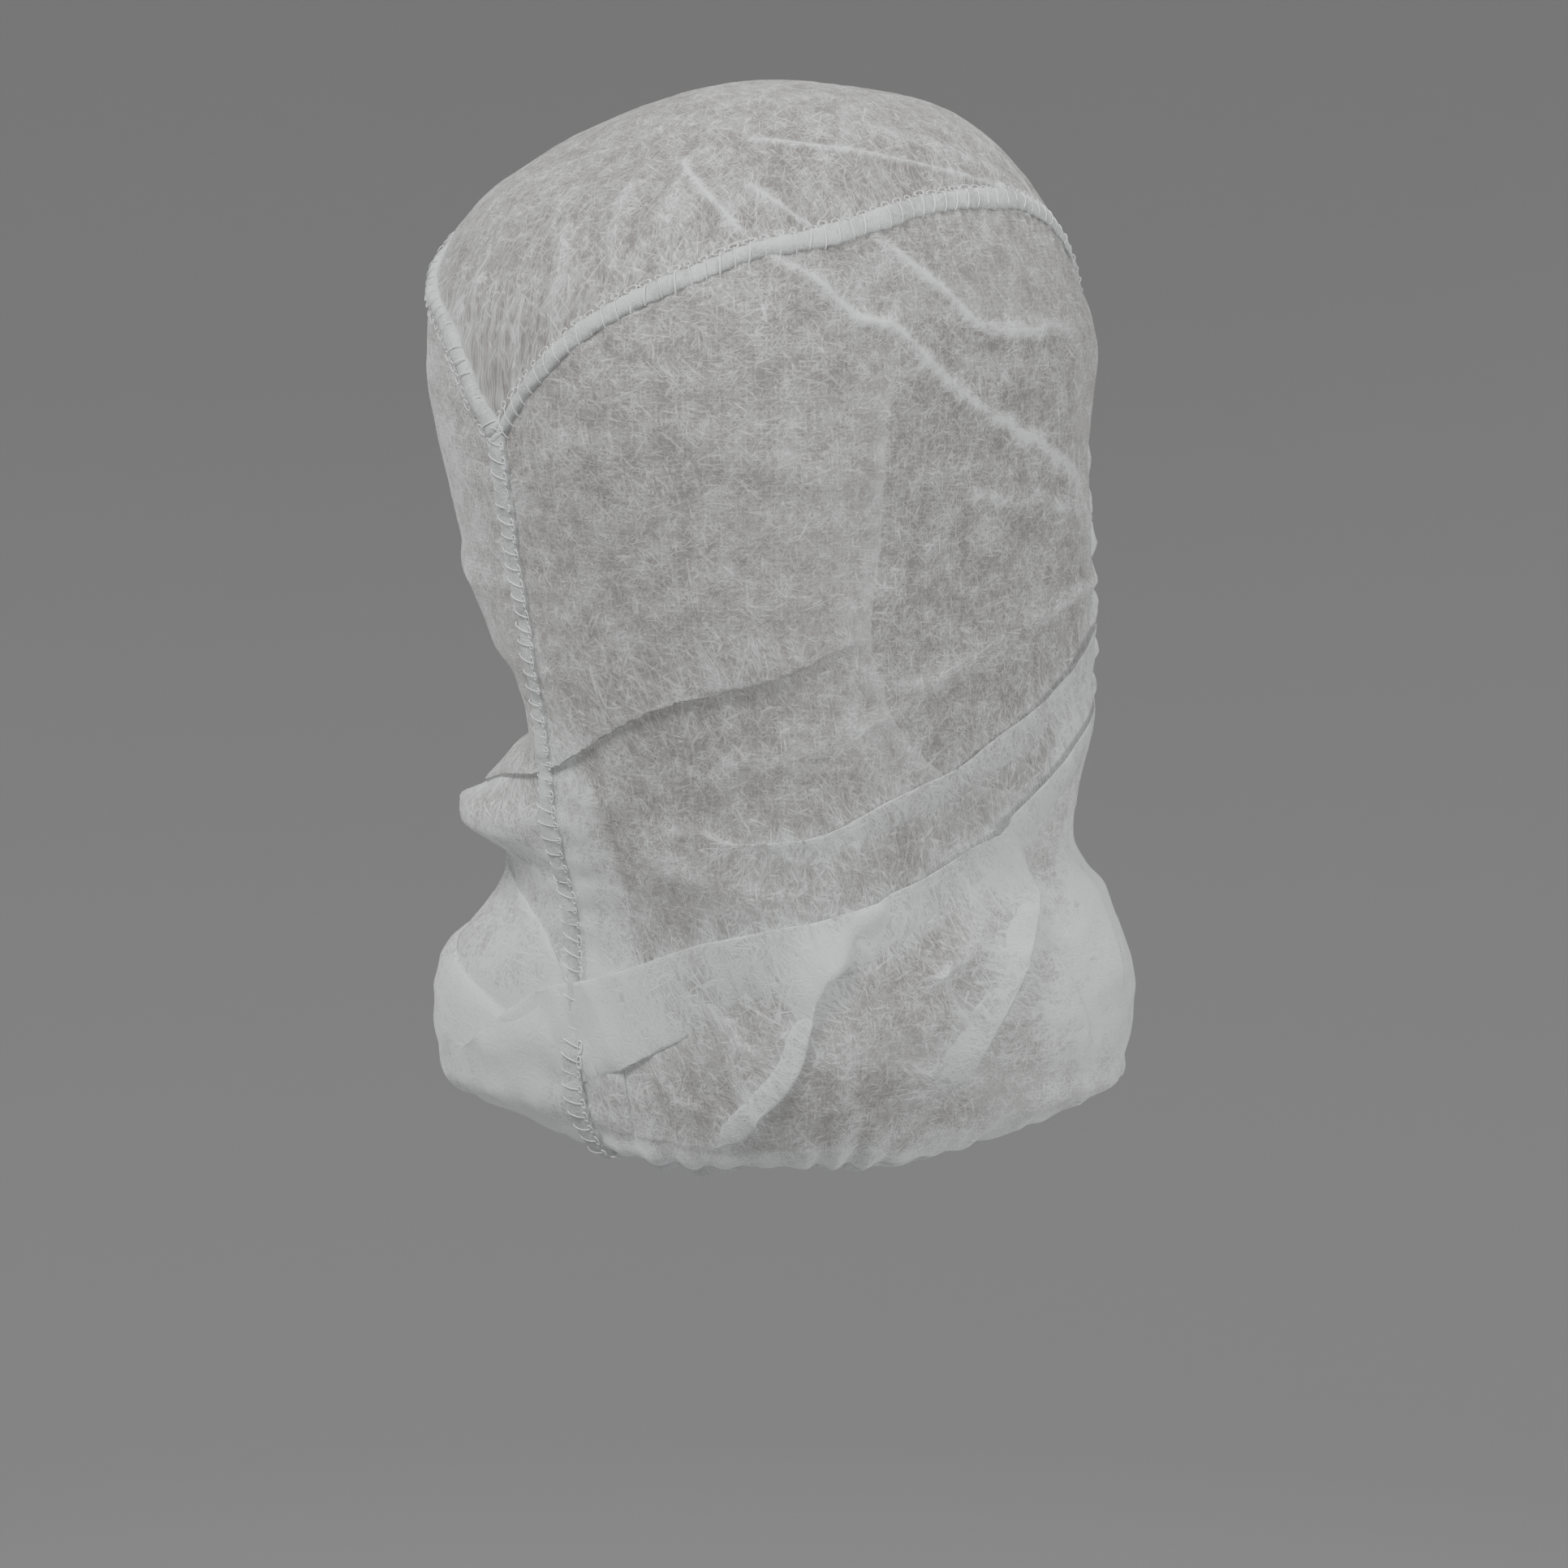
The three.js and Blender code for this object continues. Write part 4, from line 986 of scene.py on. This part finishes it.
def overlock_tree():
    """Stitches along a seam's line: a thread over the roll and a small loop at its edge."""
    tree = bpy.data.node_groups.new("overlock_stitches", "GeometryNodeTree")
    for name, kind in (
        ("Seam Line", "NodeSocketGeometry"), ("Pitch", "NodeSocketFloat"),
        ("Thread Radius", "NodeSocketFloat"), ("Seed", "NodeSocketInt"), ("Thread", "NodeSocketMaterial"),
    ):
        tree.interface.new_socket(name, in_out="INPUT", socket_type=kind)
    tree.interface.new_socket("Stitches", in_out="OUTPUT", socket_type="NodeSocketGeometry")
    given = add_node(tree, "NodeGroupInput")
    result = add_node(tree, "NodeGroupOutput")

    path = add_node(tree, "GeometryNodeMeshToCurve")
    link(tree, given.outputs["Seam Line"], path.inputs["Mesh"])
    spaced = add_node(tree, "GeometryNodeResampleCurve", mode="LENGTH")
    link(tree, path.outputs["Curve"], spaced.inputs["Curve"])
    link(tree, given.outputs["Pitch"], spaced.inputs["Length"])

    over = add_node(tree, "GeometryNodeCurvePrimitiveBezierSegment", Resolution=7)
    for end, place in OVER_THREAD:
        over.inputs[end].default_value = place
    loop = add_node(tree, "GeometryNodeCurvePrimitiveCircle", Resolution=8)
    loop.inputs["Radius"].default_value = LOOP_RADIUS
    placed_loop = add_node(tree, "GeometryNodeTransform")
    placed_loop.inputs["Translation"].default_value = LOOP_PLACE
    placed_loop.inputs["Scale"].default_value = LOOP_STRETCH
    radius = given.outputs["Thread Radius"]
    link(tree, thread_along(tree, loop.outputs["Curve"], radius), placed_loop.inputs["Geometry"])
    stitch = add_node(tree, "GeometryNodeJoinGeometry")
    link(tree, thread_along(tree, over.outputs["Curve"], radius), stitch.inputs["Geometry"])
    link(tree, placed_loop.outputs["Geometry"], stitch.inputs["Geometry"])

    outward = add_node(tree, "GeometryNodeInputNamedAttribute", data_type="FLOAT_VECTOR", Name="outward")
    along = add_node(tree, "GeometryNodeInputTangent")
    upright = add_node(tree, "FunctionNodeAlignRotationToVector", axis="Z")
    link(tree, outward.outputs["Attribute"], upright.inputs["Vector"])
    turned = add_node(tree, "FunctionNodeAlignRotationToVector", axis="X", pivot_axis="Z")
    link(tree, upright.outputs["Rotation"], turned.inputs["Rotation"])
    link(tree, along.outputs["Tangent"], turned.inputs["Vector"])
    size = add_node(tree, "FunctionNodeRandomValue", data_type="FLOAT_VECTOR")
    size.inputs["Min"].default_value = LEAST_STITCH
    size.inputs["Max"].default_value = LARGEST_STITCH
    link(tree, given.outputs["Seed"], size.inputs["Seed"])

    sewn = add_node(tree, "GeometryNodeInstanceOnPoints")
    link(tree, spaced.outputs["Curve"], sewn.inputs["Points"])
    link(tree, stitch.outputs["Geometry"], sewn.inputs["Instance"])
    link(tree, turned.outputs["Rotation"], sewn.inputs["Rotation"])
    link(tree, size.outputs["Value"], sewn.inputs["Scale"])
    real = add_node(tree, "GeometryNodeRealizeInstances")
    link(tree, sewn.outputs["Instances"], real.inputs["Geometry"])
    coloured = add_node(tree, "GeometryNodeSetMaterial")
    link(tree, real.outputs["Geometry"], coloured.inputs["Geometry"])
    link(tree, given.outputs["Thread"], coloured.inputs["Material"])
    link(tree, coloured.outputs["Geometry"], result.inputs["Stitches"])
    return tree


def line_piece(name, line, outward):
    mesh = bpy.data.meshes.new(name)
    mesh.from_pydata((line * MM).tolist(), [(step, step + 1) for step in range(len(line) - 1)], [])
    values = mesh.attributes.new("outward", "FLOAT_VECTOR", "POINT").data
    values.foreach_set("vector", outward.astype(np.float32).ravel())
    return in_scene(name, mesh)


def plain_mesh(piece):
    """Turns what a piece's node modifier makes into its own mesh."""
    graph = bpy.context.evaluated_depsgraph_get()
    made = bpy.data.meshes.new_from_object(piece.evaluated_get(graph))
    piece.modifiers.clear()
    piece.data = made
    return piece


def stitches_on(name, tree, line, outward, material, seed):
    piece = line_piece(name, line, outward)
    modifier = piece.modifiers.new("stitches", "NODES")
    modifier.node_group = tree
    values = {
        "Pitch": STITCH_PITCH * MM,
        "Thread Radius": THREAD_RADIUS * MM,
        "Seed": seed,
        "Thread": material,
    }
    for socket in tree.interface.items_tree:
        if socket.name in values:
            modifier[socket.identifier] = values[socket.name]
    return plain_mesh(piece)


OVERLOCK_TREE = overlock_tree()
THREAD = thread_material()
for node, places, seed, _, half_height in SEAMS:
    line, _, outward, _ = seam_line(places, SEAM_LINE_PITCH)
    line = line + (ROLL_LIFT + half_height - STITCHED_HEIGHT) * outward
    stitches = stitches_on(node + "_stitches", OVERLOCK_TREE, line, outward, THREAD, seed)
    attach(stitches, "root")
    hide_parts(node)

# Elastic edges. At the face opening and at the neck the cloth is turned over a thin
# elastic and overlocked, so the edge draws up into a narrow, bumpy, scalloped roll.
EDGE_PITCH = 0.8
EDGE_HALF_WIDTH = 2.5
EDGE_HALF_HEIGHT = 1.9
EDGE_WAVES = ((1.4, 5, 0.0),)
EDGE_CRUMPLES = ((1.0, 30.0, 7),)
EDGE_BUMP = 0.35
BUMP_CRUMPLES = ((0.3, 16.0, 8),)
DROP_CRUMPLES = ((1.8, 26.0, 5), (0.9, 10.0, 6))
NECK_STEPS = 720
FACE_STEPS = 240
FOREHEAD_STEPS = 60
# The grey of the edge rolls' gaps is painted shade, the dark inside of the roll seen through the thin
# cloth. The white is the cloth's own colour.
EDGE_PAINTED_SHADE = (0.66, 0.66, 0.655)
EDGE_WHITE = (0.92, 0.935, 0.94)


def edge_roll(name, places, gather_count, seed):
    """A closed roll round an opening, with a bump at each gather."""
    loop = np.vstack([places, places[:1]])
    line, sideways, outward, even = (part[:-1] for part in seam_line(loop, EDGE_PITCH, doubled=True))
    turn = 2 * math.pi * even / even[-1]
    drift = uneven(turn, EDGE_WAVES) + wandering(line, EDGE_CRUMPLES, seed)
    bumps = np.cos(2 * math.pi * gather_count * even / (even[-1] + EDGE_PITCH) + drift)
    line = line + outward * ((EDGE_BUMP + wandering(line, BUMP_CRUMPLES, seed)) * bumps)[:, None]
    line[:, 2] += wandering(line, DROP_CRUMPLES, seed)
    sizes = (EDGE_HALF_WIDTH, EDGE_HALF_HEIGHT)
    return roll_mesh(name, line, sideways, outward, even, seed, *sizes, closed=True)


neck_angles = np.linspace(-180, 180, NECK_STEPS, endpoint=False)
neck_places = np.stack([neck_angles, np.full_like(neck_angles, LAST_ROW)], -1)
face_right = curve_at(FACE_CURVE, np.linspace(0, 1, FACE_STEPS))
face_left = face_right[::-1][1:] * np.array((-1, 1))
forehead_around, forehead_row = gusset_grid(FOREHEAD_STEPS, rows=1)
forehead = np.stack([forehead_around[-1], forehead_row[-1]], -1)[1:-1]
face_places = np.vstack([face_right, face_left, forehead])
EDGE_MATERIAL = cloth_material("gathered_edge_cloth", EDGE_PAINTED_SHADE, EDGE_WHITE, thin=0.75, dense=1.0)
for node, places, gather_count, seed in (
    ("face_elastic", face_places, FACE_GATHERS, 41),
    ("neck_elastic", neck_places, NECK_GATHERS, 47),
):
    edge = edge_roll(node + "_edge", places, gather_count, seed)
    edge.data.materials.append(EDGE_MATERIAL)
    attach(edge, "root")
    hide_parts(node)

# Stage. A plain pale round floor that curves up into a wall all round, so that every
# view has the same soft background. Of three wide soft lights, the strongest is high
# behind the hood.
FLOOR_LEVEL = -1.10
STAGE_RADIUS = 3.4
STAGE_WALL = 3.2
STAGE_BEND = 1.4
BEND_STEPS = 16
STAGE_SIDES = 96
PAPER_GREY = (0.34, 0.34, 0.34)
ROOM_LIGHT = 0.55


def stage_profile():
    flat = STAGE_RADIUS - STAGE_BEND
    profile = [(flat, 0.0)]
    for step in range(1, BEND_STEPS + 1):
        turn = math.pi / 2 * step / BEND_STEPS
        profile.append((flat + STAGE_BEND * math.sin(turn), STAGE_BEND * (1 - math.cos(turn))))
    profile.append((STAGE_RADIUS, STAGE_WALL))
    return profile


def stage_mesh():
    points = [(0.0, 0.0, FLOOR_LEVEL)]
    faces = []
    profile = stage_profile()
    for radius, height in profile:
        for side in range(STAGE_SIDES):
            turn = 2 * math.pi * side / STAGE_SIDES
            points.append((radius * math.cos(turn), radius * math.sin(turn), FLOOR_LEVEL + height))
    for side in range(STAGE_SIDES):
        faces.append((0, 1 + side, 1 + (side + 1) % STAGE_SIDES))
    for ring in range(len(profile) - 1):
        for side in range(STAGE_SIDES):
            here = 1 + ring * STAGE_SIDES
            beside = (side + 1) % STAGE_SIDES
            above = here + STAGE_SIDES
            faces.append((here + side, above + side, above + beside, here + beside))
    mesh = bpy.data.meshes.new("pale_floor")
    mesh.from_pydata(points, [], faces)
    mesh.polygons.foreach_set("use_smooth", np.ones(len(faces), bool))
    return in_scene("pale_floor", mesh)


floor = stage_mesh()
floor_material = bpy.data.materials.new("pale_paper")
floor_material.use_nodes = True
floor_shader = floor_material.node_tree.nodes["Principled BSDF"]
floor_shader.inputs["Base Color"].default_value = PAPER_GREY + (1,)
floor_shader.inputs["Roughness"].default_value = 0.95
floor_shader.inputs["Specular IOR Level"].default_value = 0.1
floor.data.materials.append(floor_material)

world = bpy.data.worlds.new("soft_room")
world.use_nodes = True
world.node_tree.nodes["Background"].inputs["Color"].default_value = (1, 1, 1, 1)
world.node_tree.nodes["Background"].inputs["Strength"].default_value = ROOM_LIGHT
bpy.context.scene.world = world

VIEW_AZIMUTH = math.radians(230)
VIEW_ELEVATION = math.radians(10)
VIEW_DISTANCE = 1.2
VIEW_TARGET = (-0.0024, -0.0029, -0.203)
FOCAL_LENGTH = 93.9
FILM_WIDTH = 36
LIGHTS = (
    # name, azimuth, elevation, distance, size, power
    ("key_light", 192, 50, 2.0, 0.9, 40),
    ("fill_light", 292, 22, 2.2, 1.1, 26),
    ("back_light", 60, 40, 2.4, 1.2, 12),
)


def direction(azimuth, elevation):
    level = math.cos(elevation)
    return (math.sin(azimuth) * level, -math.cos(azimuth) * level, math.sin(elevation))


def aim(thing, azimuth, elevation, distance):
    """Puts a lamp or the camera that far from the hood and turns it to face the hood."""
    away = distance * Vector(direction(azimuth, elevation))
    thing.location = Vector(VIEW_TARGET) + away
    thing.rotation_euler = away.to_track_quat("Z", "Y").to_euler()


for name, azimuth, elevation, distance, size, power in LIGHTS:
    light = bpy.data.lights.new(name, "AREA")
    light.shape = "DISK"
    light.size = size
    light.energy = power
    aim(in_scene(name, light), math.radians(azimuth), math.radians(elevation), distance)

camera_data = bpy.data.cameras.new("camera")
camera_data.lens = FOCAL_LENGTH
camera_data.sensor_width = FILM_WIDTH
camera = in_scene("camera", camera_data)
aim(camera, VIEW_AZIMUTH, VIEW_ELEVATION, VIEW_DISTANCE)
bpy.context.scene.camera = camera
